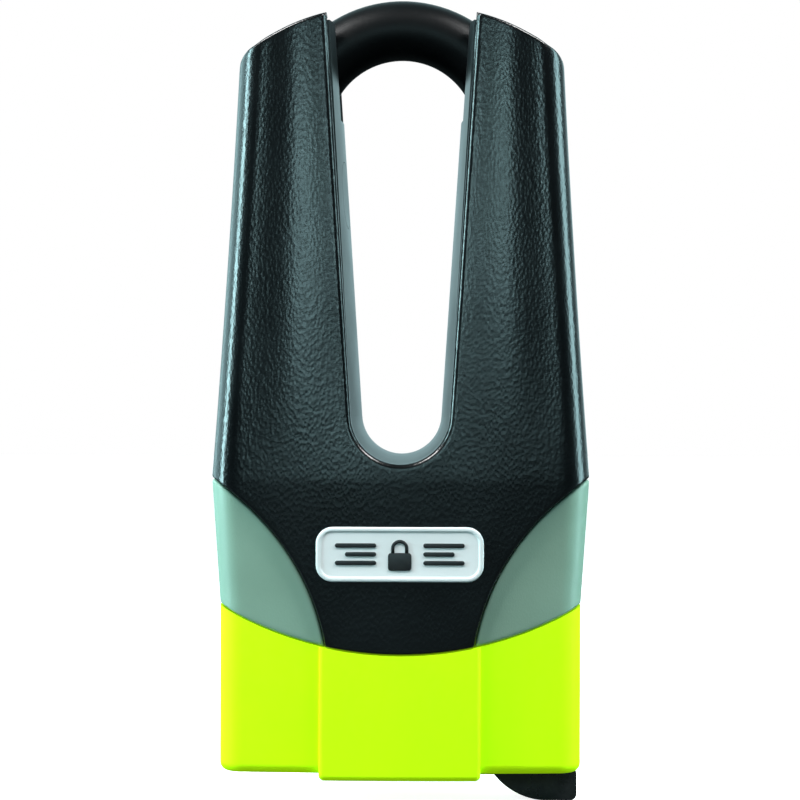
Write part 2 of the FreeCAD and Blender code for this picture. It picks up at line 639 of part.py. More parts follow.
# ---------------------------------------------------------------- fasteners
def screw(x, y, z, direction, length):
    """Pan-head screw with a six-sided socket; its head's top is at x, y, z."""
    top = Vector(x, y, z)
    head = Part.makeCylinder(SCREW_HEAD_R, SCREW_HEAD_T, top, direction)
    shank = Part.makeCylinder(SCREW_R, length, top + direction * SCREW_HEAD_T, direction)
    socket_r = SCREW_HEAD_R * SOCKET_SHARE
    corners = []
    for corner in range(6):
        angle = corner * math.pi / 3
        corners.append(Vector(socket_r * math.cos(angle), socket_r * math.sin(angle), 0))
    hexagon = Part.Face(Part.makePolygon(corners + corners[:1]))
    socket = hexagon.extrude(Vector(0, 0, SOCKET_DEEP))
    socket.Placement = FreeCAD.Placement(top, FreeCAD.Rotation(Vector(0, 0, 1), direction))
    return head.fuse(shank).cut(socket).removeSplitter()


def rear_screws():
    seat = HALF_D - SCREW_SUNK
    length = seat - SCREW_HEAD_T + CAVITY_HALF_D + REAR_SCREW_BITE
    z = BODY_Z1 - REAR_SCREW_DROP
    return compound([screw(x, seat, z, Vector(0, -1, 0), length)
                     for x in (-REAR_SCREW_X, REAR_SCREW_X)])


def base_screws():
    length = FLOOR_T - SCREW_HEAD_T + BODY_LIFT + SCREW_GRIP - SHANK_CLEARANCE
    return compound([screw(x, 0, FLOOR_Z, Vector(0, 0, 1), length)
                     for x in (-BASE_SCREW_X, BASE_SCREW_X)])


# ---------------------------------------------------------------- keyhole cover
def keyhole_cover():
    """Swinging leaf over the keyhole, with a keel-shaped finger tab at its far end."""
    leaf = upright(LEAF_TIP_R, LEAF_BOTTOM, LEAF_TOP)
    leaf = leaf.fuse(box(0, TAB_START + TAB_ROOT, -LEAF_HALF, LEAF_HALF, LEAF_BOTTOM, LEAF_TOP))
    y = -LEAF_HALF

    def pt(x, z):
        return Vector(x, y, z)

    bend = TAB_CORNER * (1 - math.sqrt(0.5))
    keel_x = TAB_START + KEEL_RUN
    outline = [
        Part.LineSegment(pt(TAB_START, LEAF_TOP), pt(TAB_END - TAB_CORNER, LEAF_TOP)),
        Part.Arc(pt(TAB_END - TAB_CORNER, LEAF_TOP), pt(TAB_END - bend, LEAF_TOP - bend),
                 pt(TAB_END, LEAF_TOP - TAB_CORNER)),
        Part.LineSegment(pt(TAB_END, LEAF_TOP - TAB_CORNER), pt(TAB_END, TAB_CORNER - TAB_DEEP)),
        Part.Arc(pt(TAB_END, TAB_CORNER - TAB_DEEP), pt(TAB_END - bend, bend - TAB_DEEP),
                 pt(TAB_END - TAB_CORNER, -TAB_DEEP)),
        Part.LineSegment(pt(TAB_END - TAB_CORNER, -TAB_DEEP), pt(keel_x, -TAB_DEEP)),
        Part.Arc(pt(keel_x, -TAB_DEEP), pt(TAB_START + KEEL_MID_RUN, -TAB_DEEP * KEEL_MID_SHARE),
                 pt(TAB_START, LEAF_BOTTOM)),
        Part.LineSegment(pt(TAB_START, LEAF_BOTTOM), pt(TAB_START, LEAF_TOP)),
    ]
    tab = Part.Face(Part.Wire([edge.toShape() for edge in outline]))
    tab = tab.extrude(Vector(0, 2 * LEAF_HALF, 0))
    leaf = leaf.fuse(tab)
    return leaf.cut(upright(PIVOT_R + PIN_CLEARANCE, -TAB_DEEP, FLOOR_Z, PIVOT_X)).removeSplitter()


def pivot_washer():
    z1 = LEAF_BOTTOM
    ring = upright(PIVOT_HEAD_R - WASHER_IN, z1 - WASHER_T, z1, PIVOT_X)
    return ring.cut(upright(PIVOT_R + PIN_CLEARANCE, z1 - WASHER_T, z1, PIVOT_X))


def cover_pivot():
    z1 = LEAF_BOTTOM - WASHER_T - PIVOT_END_GAP
    head = upright(PIVOT_HEAD_R, z1 - PIVOT_HEAD_T, z1, PIVOT_X)
    rim = [e for e in head.Edges if all(v.Z < z1 - PIVOT_HEAD_EDGE_R for v in e.Vertexes)]
    head = head.makeFillet(PIVOT_HEAD_EDGE_R, rim)
    return head.fuse(upright(PIVOT_R, z1, BODY_Z0 + SCREW_GRIP - PIVOT_SHORT, PIVOT_X)).removeSplitter()


# ---------------------------------------------------------------- build
def build():
    front, rear = covers()
    liner, plug = window_liner()
    discs, spacers = disc_stack()
    pieces = {
        "shackle": shackle(),
        "front_cover": front,
        "rear_cover": rear,
        "base_cap": base_cap(),
        "window_liner": liner,
        "liner_plug": plug,
        "badge_plate": badge_plate(),
        "lock_body": lock_body(),
        "cylinder_housing": cylinder_housing(),
        "cylinder_pin": lock_pin(),
        "guard_disc": guard_disc(),
        "key_plug": key_plug(),
        "locking_discs": discs,
        "spacer_discs": spacers,
        "sidebar": sidebar_box(STACK_Z0 + AXIAL_GAP, STACK_TOP - AXIAL_GAP, 0),
        "drive_cam": drive_cam(),
        "cam_ring": cam_ring(),
        "rear_screws": rear_screws(),
        "base_screws": base_screws(),
        "keyhole_cover": keyhole_cover(),
        "pivot_washer": pivot_washer(),
        "cover_pivot": cover_pivot(),
    }
    for side, word in ((-1, "left"), (1, "right")):
        pieces["side_panel_" + word] = side_panel(side)
        pieces["leg_guard_" + word] = leg_guard(side)
        pieces["leg_wiper_" + word] = leg_wiper(side)
        pieces["leg_buffer_" + word] = leg_buffer(side)
        pieces["locking_bolt_" + word] = bolt(side)
    for name, shape in pieces.items():
        save(name, shape)
    print("window z", round(WINDOW_Z, 2), "bend z", round(BEND_Z, 2), "tip z", round(TIP_Z, 2))
    print("bolt z", round(BOLT_Z, 2), "foot z", round(FOOT_Z, 2), "base half", BASE_HALF)
    print("body z", BODY_Z0, BODY_Z1, "cap side z", round(CAP_SIDE_Z, 2), "hip z", round(HIP_Z, 2))
    print("badge z", BADGE_Z, "window half at bend", BEND_HALF)


os.makedirs("parts", exist_ok=True)
build()
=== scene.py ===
# %% [markdown]
# # A long-shackle brake disc lock
# The lock is a hardened U-shaped bar that drops into two jacketed arms. Its working shape comes from the
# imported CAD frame: steel body, cylinder, bolts, screws and joints. This notebook makes what the eye meets:
# the moulded jacket, the bright cap, the badge, and a finish for every surface. Loading the frame comes
# first, because every piece takes its place from it and rides on one of its bodies.

# %% Load the frame
import json
import math

import bmesh
import bpy
import numpy as np
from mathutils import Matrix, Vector


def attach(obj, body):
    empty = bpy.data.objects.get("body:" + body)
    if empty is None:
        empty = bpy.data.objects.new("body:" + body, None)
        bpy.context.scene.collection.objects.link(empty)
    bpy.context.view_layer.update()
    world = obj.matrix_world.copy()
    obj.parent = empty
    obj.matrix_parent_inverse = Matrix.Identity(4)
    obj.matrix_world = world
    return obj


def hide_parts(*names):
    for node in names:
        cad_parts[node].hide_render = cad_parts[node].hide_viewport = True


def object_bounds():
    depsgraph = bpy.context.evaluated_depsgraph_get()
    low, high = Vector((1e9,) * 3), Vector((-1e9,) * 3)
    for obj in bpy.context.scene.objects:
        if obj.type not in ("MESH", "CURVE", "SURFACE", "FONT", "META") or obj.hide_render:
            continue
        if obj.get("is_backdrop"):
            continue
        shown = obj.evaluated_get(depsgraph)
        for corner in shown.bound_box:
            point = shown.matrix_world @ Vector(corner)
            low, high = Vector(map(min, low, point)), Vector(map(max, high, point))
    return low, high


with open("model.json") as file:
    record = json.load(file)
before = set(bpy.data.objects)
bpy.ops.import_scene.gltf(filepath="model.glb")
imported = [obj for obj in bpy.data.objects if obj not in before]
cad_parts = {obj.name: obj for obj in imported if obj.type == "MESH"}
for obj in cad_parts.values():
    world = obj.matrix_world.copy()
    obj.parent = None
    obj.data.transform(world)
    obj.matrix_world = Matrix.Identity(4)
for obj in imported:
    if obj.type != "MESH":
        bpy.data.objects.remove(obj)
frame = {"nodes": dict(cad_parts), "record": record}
nodes = frame["nodes"]
cad_low, cad_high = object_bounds()
MM = 0.001
print("CAD box in mm:", [round(v / MM, 1) for v in (*cad_low, *cad_high)])

# %% [markdown]
# ## Camera
# A long lens half a metre away keeps the arms nearly parallel but still shows a sliver of the window's
# inner walls. The camera looks level from just under the middle of the lock's height, one degree round to
# the right, and leans by a hair.

# %% Camera
EYE_DISTANCE = 500 * MM
EYE_HEIGHT = 68.2 * MM
EYE_AZIMUTH = math.radians(1.0)
VIEW_WIDTH = 148.15 * MM
SENSOR = 36.0
EYE_ROLL = math.radians(-0.15)
AIM_X = -0.34 * MM

eye = bpy.data.cameras.new("eye")
eye.sensor_width = SENSOR
eye.lens = SENSOR * EYE_DISTANCE / VIEW_WIDTH
eye.clip_start = 0.01
eye.clip_end = 20
camera = bpy.data.objects.new("camera", eye)
camera.location = (AIM_X + EYE_DISTANCE * math.sin(EYE_AZIMUTH),
                   -EYE_DISTANCE * math.cos(EYE_AZIMUTH), EYE_HEIGHT)
camera.rotation_euler = (math.radians(90), EYE_ROLL, EYE_AZIMUTH)
bpy.context.scene.collection.objects.link(camera)
bpy.context.scene.camera = camera
bpy.context.scene.view_settings.view_transform = "Standard"
print("lens in mm:", round(eye.lens, 1))

# %% [markdown]
# ## Light and floor
# Black plastic shows its shape only through what it reflects, so the lamps matter more than the colour.
# Two low panels beside the lens lay a sheen along the arms that dies away towards the badge, and the gap
# between them keeps the middle dark. A tall strip on the left draws the bright line down the rounded outer
# edge, with a weaker fill behind it, and another strip answers it on the right. Two small lamps high up
# light the cap, the panels and the badge.

# %% Lamps
def lamp(name, place, aim, size, power, tint=(1, 1, 1)):
    """Soft rectangular lamp at place, facing aim; lengths in metres, power in watts."""
    data = bpy.data.lights.new(name, "AREA")
    data.shape = "RECTANGLE"
    data.size, data.size_y = size
    data.energy = power
    data.color = tint
    made = bpy.data.objects.new(name, data)
    made.location = place
    made.rotation_euler = (Vector(aim) - Vector(place)).to_track_quat("-Z", "Y").to_euler()
    bpy.context.scene.collection.objects.link(made)


COOL = (0.58, 0.95, 1.0)
lamp("brow_left", (-0.097, -0.61, 0.182), (0, 0, 0.10), (0.065, 0.105), 0.33, COOL)
lamp("brow_right", (0.097, -0.61, 0.198), (0, 0, 0.10), (0.065, 0.09), 0.28, COOL)
lamp("left_strip", (-0.42, -0.09, 0.09), (0, 0, 0.08), (0.08, 0.50), 3.9, COOL)
lamp("left_fill", (-0.40, 0.19, 0.09), (0, 0, 0.08), (0.34, 0.50), 1.45, COOL)
lamp("right_strip", (0.38, -0.02, 0.09), (0, 0, 0.08), (0.14, 0.50), 2.5, COOL)
lamp("high_left", (-0.32, -0.19, 0.55), (0, 0, 0.03), (0.20, 0.20), 4.0)
lamp("high_right", (0.32, -0.19, 0.55), (0, 0, 0.03), (0.20, 0.20), 3.6)
print("lamps:", len(bpy.data.lights))

# %% [markdown]
# The room behind the lock is a cool white, and the room in front of it is dim: the window's walls and the
# top of the bar catch that white at a glancing angle, while the middle of the lock stays deep black. The
# strength therefore follows the direction of the ray, from front to back. The lens itself sees a plain
# white backdrop, which a Light Path node chooses, and the floor lies a hair under the lock.

# %% World and floor
ROOM_COLOUR = (0.64, 0.95, 1.0, 1)
ROOM_DIM, ROOM_BRIGHT = 0.02, 1.25
WHITE = (1, 1, 1, 1)

world = bpy.data.worlds.new("studio")
world.use_nodes = True
bpy.context.scene.world = world
tree = world.node_tree
surround = tree.nodes["Background"]
surround.inputs["Color"].default_value = ROOM_COLOUR
direction = tree.nodes.new("ShaderNodeTexCoord")
parts = tree.nodes.new("ShaderNodeSeparateXYZ")
behind = tree.nodes.new("ShaderNodeMapRange")
behind.interpolation_type = "SMOOTHSTEP"
behind.inputs["From Min"].default_value = 0.2
behind.inputs["From Max"].default_value = 0.95
behind.inputs["To Min"].default_value = ROOM_DIM
behind.inputs["To Max"].default_value = ROOM_BRIGHT
tree.links.new(direction.outputs["Generated"], parts.inputs["Vector"])
tree.links.new(parts.outputs["Y"], behind.inputs["Value"])
tree.links.new(behind.outputs["Result"], surround.inputs["Strength"])
backdrop = tree.nodes.new("ShaderNodeBackground")
backdrop.inputs["Color"].default_value = WHITE
backdrop.inputs["Strength"].default_value = 1.0
path = tree.nodes.new("ShaderNodeLightPath")
choose = tree.nodes.new("ShaderNodeMixShader")
tree.links.new(path.outputs["Is Camera Ray"], choose.inputs["Fac"])
tree.links.new(surround.outputs["Background"], choose.inputs[1])
tree.links.new(backdrop.outputs["Background"], choose.inputs[2])
tree.links.new(choose.outputs["Shader"], tree.nodes["World Output"].inputs["Surface"])

FLOOR_HALF = 3.0
FLOOR_GAP = 0.02 * MM
floor_mesh = bpy.data.meshes.new("floor")
floor_z = cad_low.z - FLOOR_GAP
floor_mesh.from_pydata([(-FLOOR_HALF, -FLOOR_HALF, floor_z), (FLOOR_HALF, -FLOOR_HALF, floor_z),
                        (FLOOR_HALF, FLOOR_HALF, floor_z), (-FLOOR_HALF, FLOOR_HALF, floor_z)],
                       [], [(0, 1, 2, 3)])
floor = bpy.data.objects.new("floor", floor_mesh)
bpy.context.scene.collection.objects.link(floor)
floor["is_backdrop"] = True
print("floor at mm:", round(floor_z / MM, 2))

# %% [markdown]
# ## Shader building blocks
# Several finishes share the same effects: the leather-like grain etched into the mould, the slow mottling
# of handled plastic, worn edges and the marks of a tool. Each is a node group, built once and placed with
# its own values. A group only puts out values; the Principled shader stays in the material.

# %% Helpers for node groups and materials
def new_group(name, inputs, outputs):
    """Empty shader group; inputs and outputs are name -> (socket type, default)."""
    group = bpy.data.node_groups.new(name, "ShaderNodeTree")
    for direction, sockets in (("INPUT", inputs), ("OUTPUT", outputs)):
        for label, (kind, default) in sockets.items():
            made = group.interface.new_socket(label, in_out=direction, socket_type=kind)
            if default is not None:
                made.default_value = default
    way_in = group.nodes.new("NodeGroupInput")
    way_out = group.nodes.new("NodeGroupOutput")
    return group, way_in, way_out


def add(tree, kind, values=None, links=None, **settings):
    """New node: settings are its properties, values its inputs, links (socket -> output)."""
    node = tree.nodes.new(kind)
    for key, value in settings.items():
        setattr(node, key, value)
    for key, value in (values or {}).items():
        node.inputs[key].default_value = value
    for key, output in (links or {}).items():
        tree.links.new(output, node.inputs[key])
    return node


FLOAT = "NodeSocketFloat"
COLOUR = "NodeSocketColor"
VECTOR = "NodeSocketVector"
print("helpers:", new_group.__name__, add.__name__)

# %% [markdown]
# The grain of moulded plastic is etched cells about half a millimetre across with finer pitting inside
# them, taller than wide. A smooth Voronoi pattern, warped by noise so that no cell is
# regular, makes the cells, and a fine noise makes the pits. The group gives one height for a Bump node.

# %% Grain group
grain, way_in, way_out = new_group(
    "moulded_grain",
    {"Cell size mm": (FLOAT, 0.45), "Pitting": (FLOAT, 0.35)},
    {"Height": (FLOAT, None)})
place = add(grain, "ShaderNodeTexCoord")
cells_per_metre = add(grain, "ShaderNodeMath", {0: 1000.0}, {1: way_in.outputs["Cell size mm"]},
                      operation="DIVIDE")
warp = add(grain, "ShaderNodeTexNoise", {"Detail": 1.0, "Roughness": 0.5},
           {"Vector": place.outputs["Object"], "Scale": cells_per_metre.outputs[0]})
warp_size = add(grain, "ShaderNodeVectorMath", {1: (0.00015, 0.00015, 0.00015)},
                {0: warp.outputs["Color"]}, operation="MULTIPLY")
upright = add(grain, "ShaderNodeVectorMath", {1: (1.2, 1.2, 0.72)}, {0: place.outputs["Object"]},
              operation="MULTIPLY")
warped = add(grain, "ShaderNodeVectorMath", None,
             {0: upright.outputs["Vector"], 1: warp_size.outputs["Vector"]}, operation="ADD")
cells = add(grain, "ShaderNodeTexVoronoi", {"Smoothness": 0.4},
            {"Vector": warped.outputs["Vector"], "Scale": cells_per_metre.outputs[0]},
            feature="SMOOTH_F1")
fine_scale = add(grain, "ShaderNodeMath", {1: 2.6}, {0: cells_per_metre.outputs[0]}, operation="MULTIPLY")
pits = add(grain, "ShaderNodeTexNoise", {"Detail": 2.0, "Roughness": 0.6},
           {"Vector": place.outputs["Object"], "Scale": fine_scale.outputs[0]})
height = add(grain, "ShaderNodeMix", None,
             {0: way_in.outputs["Pitting"], 2: cells.outputs["Distance"], 3: pits.outputs["Fac"]},
             data_type="FLOAT")
grain.links.new(height.outputs[0], way_out.inputs["Height"])
print("grain sockets:", [s.name for s in grain.interface.items_tree])

# %% [markdown]
# Handled plastic is never one tone: skin oil and cleaning leave soft patches that differ a little in
# colour and gloss. A slow noise gives a mask, and the group turns it into a colour and a roughness.

# %% Mottle group
mottle, way_in, way_out = new_group(
    "handled_mottle",
    {"Colour": (COLOUR, (0.5, 0.5, 0.5, 1)), "Worn colour": (COLOUR, (0.6, 0.6, 0.6, 1)),
     "Roughness": (FLOAT, 0.5), "Roughness swing": (FLOAT, 0.1), "Patch size mm": (FLOAT, 14.0)},
    {"Colour": (COLOUR, None), "Roughness": (FLOAT, None)})
place = add(mottle, "ShaderNodeTexCoord")
patches_per_metre = add(mottle, "ShaderNodeMath", {0: 1000.0},
                        {1: way_in.outputs["Patch size mm"]}, operation="DIVIDE")
patches = add(mottle, "ShaderNodeTexNoise", {"Detail": 5.0, "Roughness": 0.55},
              {"Vector": place.outputs["Object"], "Scale": patches_per_metre.outputs[0]})
spread = add(mottle, "ShaderNodeMapRange", {"From Min": 0.3, "From Max": 0.7},
             {"Value": patches.outputs["Fac"]})
tone = add(mottle, "ShaderNodeMix", None,
           {0: spread.outputs["Result"], 6: way_in.outputs["Colour"], 7: way_in.outputs["Worn colour"]},
           data_type="RGBA")
swing = add(mottle, "ShaderNodeMath", None,
            {0: spread.outputs["Result"], 1: way_in.outputs["Roughness swing"],
             2: way_in.outputs["Roughness"]}, operation="MULTIPLY_ADD")
mottle.links.new(tone.outputs[2], way_out.inputs["Colour"])
mottle.links.new(swing.outputs[0], way_out.inputs["Roughness"])
print("mottle sockets:", [s.name for s in mottle.interface.items_tree])

# %% [markdown]
# Edges are touched most. Cycles knows how convex each point of a mesh is (its pointiness), so a ramp on
# it, broken up by noise, gives a mask of rubbed edges.

# %% Edge wear group
wear, way_in, way_out = new_group(
    "rubbed_edges",
    {"Amount": (FLOAT, 0.5), "Breakup mm": (FLOAT, 1.5)},
    {"Mask": (FLOAT, None)})
shape = add(wear, "ShaderNodeNewGeometry")
edge = add(wear, "ShaderNodeMapRange", {"From Min": 0.52, "From Max": 0.62},
           {"Value": shape.outputs["Pointiness"]})
place = add(wear, "ShaderNodeTexCoord")
breaks_per_metre = add(wear, "ShaderNodeMath", {0: 1000.0}, {1: way_in.outputs["Breakup mm"]},
                       operation="DIVIDE")
breaks = add(wear, "ShaderNodeTexNoise", {"Detail": 3.0},
             {"Vector": place.outputs["Object"], "Scale": breaks_per_metre.outputs[0]})
rubbed = add(wear, "ShaderNodeMath", None, {0: edge.outputs["Result"], 1: breaks.outputs["Fac"]},
             operation="MULTIPLY")
mask = add(wear, "ShaderNodeMath", None, {0: rubbed.outputs[0], 1: way_in.outputs["Amount"]},
           operation="MULTIPLY", use_clamp=True)
wear.links.new(mask.outputs[0], way_out.inputs["Mask"])
print("wear sockets:", [s.name for s in wear.interface.items_tree])

# %% [markdown]
# Machined and plated metal keeps the marks of the tool as fine parallel lines. A noise stretched thirty
# times or more along one axis gives them as a height and as a small change of roughness.

# %% Tool mark group
marks, way_in, way_out = new_group(
    "tool_marks",
    {"Along": (VECTOR, (1, 1, 0.02)), "Line size mm": (FLOAT, 0.2), "Roughness": (FLOAT, 0.3)},
    {"Height": (FLOAT, None), "Roughness": (FLOAT, None)})
place = add(marks, "ShaderNodeTexCoord")
stretched = add(marks, "ShaderNodeVectorMath", None,
                {0: place.outputs["Object"], 1: way_in.outputs["Along"]}, operation="MULTIPLY")
lines_per_metre = add(marks, "ShaderNodeMath", {0: 1000.0}, {1: way_in.outputs["Line size mm"]},
                      operation="DIVIDE")
lines = add(marks, "ShaderNodeTexNoise", {"Detail": 4.0, "Roughness": 0.65},
            {"Vector": stretched.outputs["Vector"], "Scale": lines_per_metre.outputs[0]})
rough = add(marks, "ShaderNodeMath", {1: 0.18}, {0: lines.outputs["Fac"], 2: way_in.outputs["Roughness"]},
            operation="MULTIPLY_ADD")
marks.links.new(lines.outputs["Fac"], way_out.inputs["Height"])
marks.links.new(rough.outputs[0], way_out.inputs["Roughness"])
print("tool mark sockets:", [s.name for s in marks.interface.items_tree])

# %% [markdown]
# ## Plastics
# Every plastic here is the same recipe with its own values: mottle for colour and roughness, rubbed edges
# mixed on top, grain through a Bump node. The black jacket has the deepest grain, the cap is almost
# smooth, and the finger tab and badge are polished in the mould. The cap is a fluorescent yellow-green, and
# a little emission of its own colour is painted light on it, a glow that brightens it whatever the lamps
# give.

# %% Moulded plastic
def with_nodes(name):
    made = bpy.data.materials.new(name)
    made.use_nodes = True
    return made, made.node_tree, made.node_tree.nodes["Principled BSDF"]


def use_group(tree, group, values=None, links=None):
    node = tree.nodes.new("ShaderNodeGroup")
    node.node_tree = group
    for key, value in (values or {}).items():
        node.inputs[key].default_value = value
    for key, output in (links or {}).items():
        tree.links.new(output, node.inputs[key])
    return node


def moulded(name, colour, worn, rubbed, roughness, swing, cell, depth, pitting=0.35, amount=0.5,
            patch=14.0, specular=0.5, glow=0.0):
    """Moulded plastic; colours are linear, cell is the grain in mm and depth the bump in mm.
    glow is painted light: an emission of the plastic's own colour that brightens it without any lamp."""
    made, tree, shader = with_nodes(name)
    tone = use_group(tree, mottle, {"Colour": (*colour, 1), "Worn colour": (*worn, 1),
                                    "Roughness": roughness, "Roughness swing": swing,
                                    "Patch size mm": patch})
    edges = use_group(tree, wear, {"Amount": amount})
    mixed = add(tree, "ShaderNodeMix", {7: (*rubbed, 1)},
                {0: edges.outputs["Mask"], 6: tone.outputs["Colour"]}, data_type="RGBA")
    texture = use_group(tree, grain, {"Cell size mm": cell, "Pitting": pitting})
    bump = add(tree, "ShaderNodeBump", {"Strength": 1.0, "Distance": depth * MM},
               {"Height": texture.outputs["Height"]})
    tree.links.new(mixed.outputs[2], shader.inputs["Base Color"])
    tree.links.new(tone.outputs["Roughness"], shader.inputs["Roughness"])
    tree.links.new(bump.outputs["Normal"], shader.inputs["Normal"])
    shader.inputs["Specular IOR Level"].default_value = specular
    # Painted light: emission of the plastic's own colour makes it brighter than the lamps alone would.
    if glow:
        tree.links.new(mixed.outputs[2], shader.inputs["Emission Color"])
        shader.inputs["Emission Strength"].default_value = glow
    return made


black_grained = moulded("black_grained", (0.0008, 0.0014, 0.0018), (0.0014, 0.0024, 0.0030),
                        (0.03, 0.045, 0.05), 0.22, 0.04, 0.60, 0.036, pitting=0.25)
black_smooth = moulded("black_smooth", (0.010, 0.016, 0.017), (0.014, 0.021, 0.023),
                       (0.07, 0.08, 0.085), 0.30, 0.08, 0.30, 0.008)
panel_grey = moulded("panel_grey", (0.235, 0.365, 0.280), (0.205, 0.325, 0.245),
                     (0.36, 0.48, 0.40), 0.42, 0.08, 0.34, 0.020)
# The cap's glow is painted light, an emission that brightens the yellow beyond what the lamps give.
cap_yellow = moulded("cap_yellow", (0.56, 1.0, 0.003), (0.53, 0.97, 0.003),
                     (0.62, 1.0, 0.02), 0.50, 0.06, 0.50, 0.006, amount=0.3, specular=0.05, glow=0.29)
tab_black = moulded("tab_black", (0.0035, 0.0045, 0.0060), (0.005, 0.006, 0.008),
                    (0.05, 0.05, 0.055), 0.22, 0.08, 0.60, 0.004)
badge_white = moulded("badge_white", (0.84, 0.87, 0.87), (0.77, 0.80, 0.80),
                      (0.86, 0.88, 0.88), 0.32, 0.08, 0.40, 0.004)
badge_ink = moulded("badge_ink", (0.004, 0.005, 0.006), (0.006, 0.007, 0.008),
                    (0.03, 0.03, 0.03), 0.35, 0.08, 0.40, 0.004)
rubber = moulded("rubber", (0.012, 0.012, 0.012), (0.018, 0.018, 0.018),
                 (0.04, 0.04, 0.04), 0.70, 0.10, 0.30, 0.012)
print("plastics:", len(bpy.data.materials))

# %% [markdown]
# ## Metals
# The bar has a thin black coat over hardened steel: the coat flows, so it is smooth with a faint orange
# peel, and it rubs through to grey at the notches. Inside, zinc plating, ground steel and brass share one
# recipe and differ in colour, direction of the tool and roughness.

# %% Bar coat and bare metals
def bare_metal(name, colour, stain, roughness, along, line):
    made, tree, shader = with_nodes(name)
    tone = use_group(tree, mottle, {"Colour": (*colour, 1), "Worn colour": (*stain, 1),
                                    "Patch size mm": 6.0})
    tool = use_group(tree, marks, {"Along": along, "Line size mm": line, "Roughness": roughness})
    bump = add(tree, "ShaderNodeBump", {"Strength": 0.6, "Distance": 0.01 * MM},
               {"Height": tool.outputs["Height"]})
    tree.links.new(tone.outputs["Colour"], shader.inputs["Base Color"])
    tree.links.new(tool.outputs["Roughness"], shader.inputs["Roughness"])
    tree.links.new(bump.outputs["Normal"], shader.inputs["Normal"])
    shader.inputs["Metallic"].default_value = 1.0
    return made


def coated_bar(name):
    made, tree, shader = with_nodes(name)
    tone = use_group(tree, mottle, {"Colour": (0.0010, 0.0016, 0.0020, 1),
                                    "Worn colour": (0.0018, 0.0026, 0.0031, 1),
                                    "Roughness": 0.36, "Roughness swing": 0.10, "Patch size mm": 9.0})
    edges = use_group(tree, wear, {"Amount": 0.9, "Breakup mm": 0.8})
    mixed = add(tree, "ShaderNodeMix", {7: (0.22, 0.23, 0.24, 1)},
                {0: edges.outputs["Mask"], 6: tone.outputs["Colour"]}, data_type="RGBA")
    peel = use_group(tree, grain, {"Cell size mm": 0.9, "Pitting": 0.2})
    bump = add(tree, "ShaderNodeBump", {"Strength": 1.0, "Distance": 0.018 * MM},
               {"Height": peel.outputs["Height"]})
    tree.links.new(mixed.outputs[2], shader.inputs["Base Color"])
    tree.links.new(edges.outputs["Mask"], shader.inputs["Metallic"])
    shader.inputs["Specular IOR Level"].default_value = 0.15
    tree.links.new(tone.outputs["Roughness"], shader.inputs["Roughness"])
    tree.links.new(bump.outputs["Normal"], shader.inputs["Normal"])
    return made


bar_black = coated_bar("bar_black")
zinc_steel = bare_metal("zinc_steel", (0.56, 0.57, 0.58), (0.46, 0.48, 0.50), 0.26, (1, 1, 0.03), 0.25)
hard_steel = bare_metal("hard_steel", (0.34, 0.34, 0.35), (0.25, 0.25, 0.26), 0.24, (1, 0.03, 1), 0.18)
brass = bare_metal("brass", (0.71, 0.50, 0.19), (0.58, 0.38, 0.14), 0.22, (1, 1, 0.03), 0.18)
print("plastics and metals:", len(bpy.data.materials))

# %% [markdown]
# The floor has two faces. The lens sees white paper that glows like the backdrop, and every other ray
# meets an almost black surface, so that the underside and the black jacket get no light from below.

# %% Studio floor
paper, tree, shader = with_nodes("studio_floor")
tone = use_group(tree, mottle, {"Colour": (0.86, 0.86, 0.86, 1), "Worn colour": (0.88, 0.88, 0.88, 1),
                                "Roughness": 0.8, "Patch size mm": 80.0})
path = tree.nodes.new("ShaderNodeLightPath")
shaded = add(tree, "ShaderNodeMix", {6: (0.012, 0.015, 0.015, 1)},
             {0: path.outputs["Is Camera Ray"], 7: tone.outputs["Colour"]}, data_type="RGBA")
tree.links.new(shaded.outputs[2], shader.inputs["Base Color"])
tree.links.new(tone.outputs["Roughness"], shader.inputs["Roughness"])
tree.links.new(tone.outputs["Colour"], shader.inputs["Emission Color"])
glow = add(tree, "ShaderNodeMath", {1: 1.0}, {0: path.outputs["Is Camera Ray"]}, operation="MULTIPLY")
tree.links.new(glow.outputs[0], shader.inputs["Emission Strength"])
floor_mesh.materials.append(paper)
print("floor finish:", paper.name)

# %% [markdown]
# ## The moulded skin
# Jacket, side panels and cap are trimmed from one outer form, as their moulds are. A point on it is given
# by u, the way round the lock from the middle of the front, and z, the height. The form swells to the hips
# and then tapers, and its corners keep a 5 mm radius. Writing the form as a formula lets every piece of
# skin be a tidy grid of quads that follows its own seams.

# %% The outer form as a formula
BASE_Z, HIP_Z, WAIST_Z, LOFT_Z = 31.3, 53.7, 89.7, 140.3
BASE_HALF, HIP_HALF, WAIST_HALF, LOFT_HALF = 32.6, 34.15, 31.65, 28.9
DEEP, THIN = 18.0, 15.3
CROWN_R = 300.0
FLAT_R = 1e5
CORNER_R = 5.0


def form_at(z, inset):
    """Half width and half depth of the form at height z (an array), all in mm."""
    low = BASE_HALF + (HIP_HALF - BASE_HALF) * np.clip((z - BASE_Z) / (HIP_Z - BASE_Z), 0, 1)
    first = (WAIST_HALF - HIP_HALF) / (WAIST_Z - HIP_Z)
    second = (LOFT_HALF - WAIST_HALF) / (LOFT_Z - WAIST_Z)
    bend = (second - first) / (LOFT_Z - HIP_Z)
    high = HIP_HALF + (z - HIP_Z) * (first + bend * (z - WAIST_Z))
    half_w = np.where(z < HIP_Z, low, high)
    half_d = DEEP + (THIN - DEEP) * np.clip((z - HIP_Z) / (LOFT_Z - HIP_Z), 0, 1) - inset
    return half_w, half_d


def section(z, crown, inset, corner):
    """Numbers of the section at z: crown's centre, corner's centre, corner's start angle, face length."""
    half_w, half_d = form_at(z, inset)
    crown_y = crown - half_d
    corner_x = half_w - corner
    corner_y = crown_y - np.sqrt((crown - corner) ** 2 - corner_x ** 2)
    start = np.arcsin(corner_x / (crown - corner))
    return crown_y, corner_x, corner_y, start, crown * start


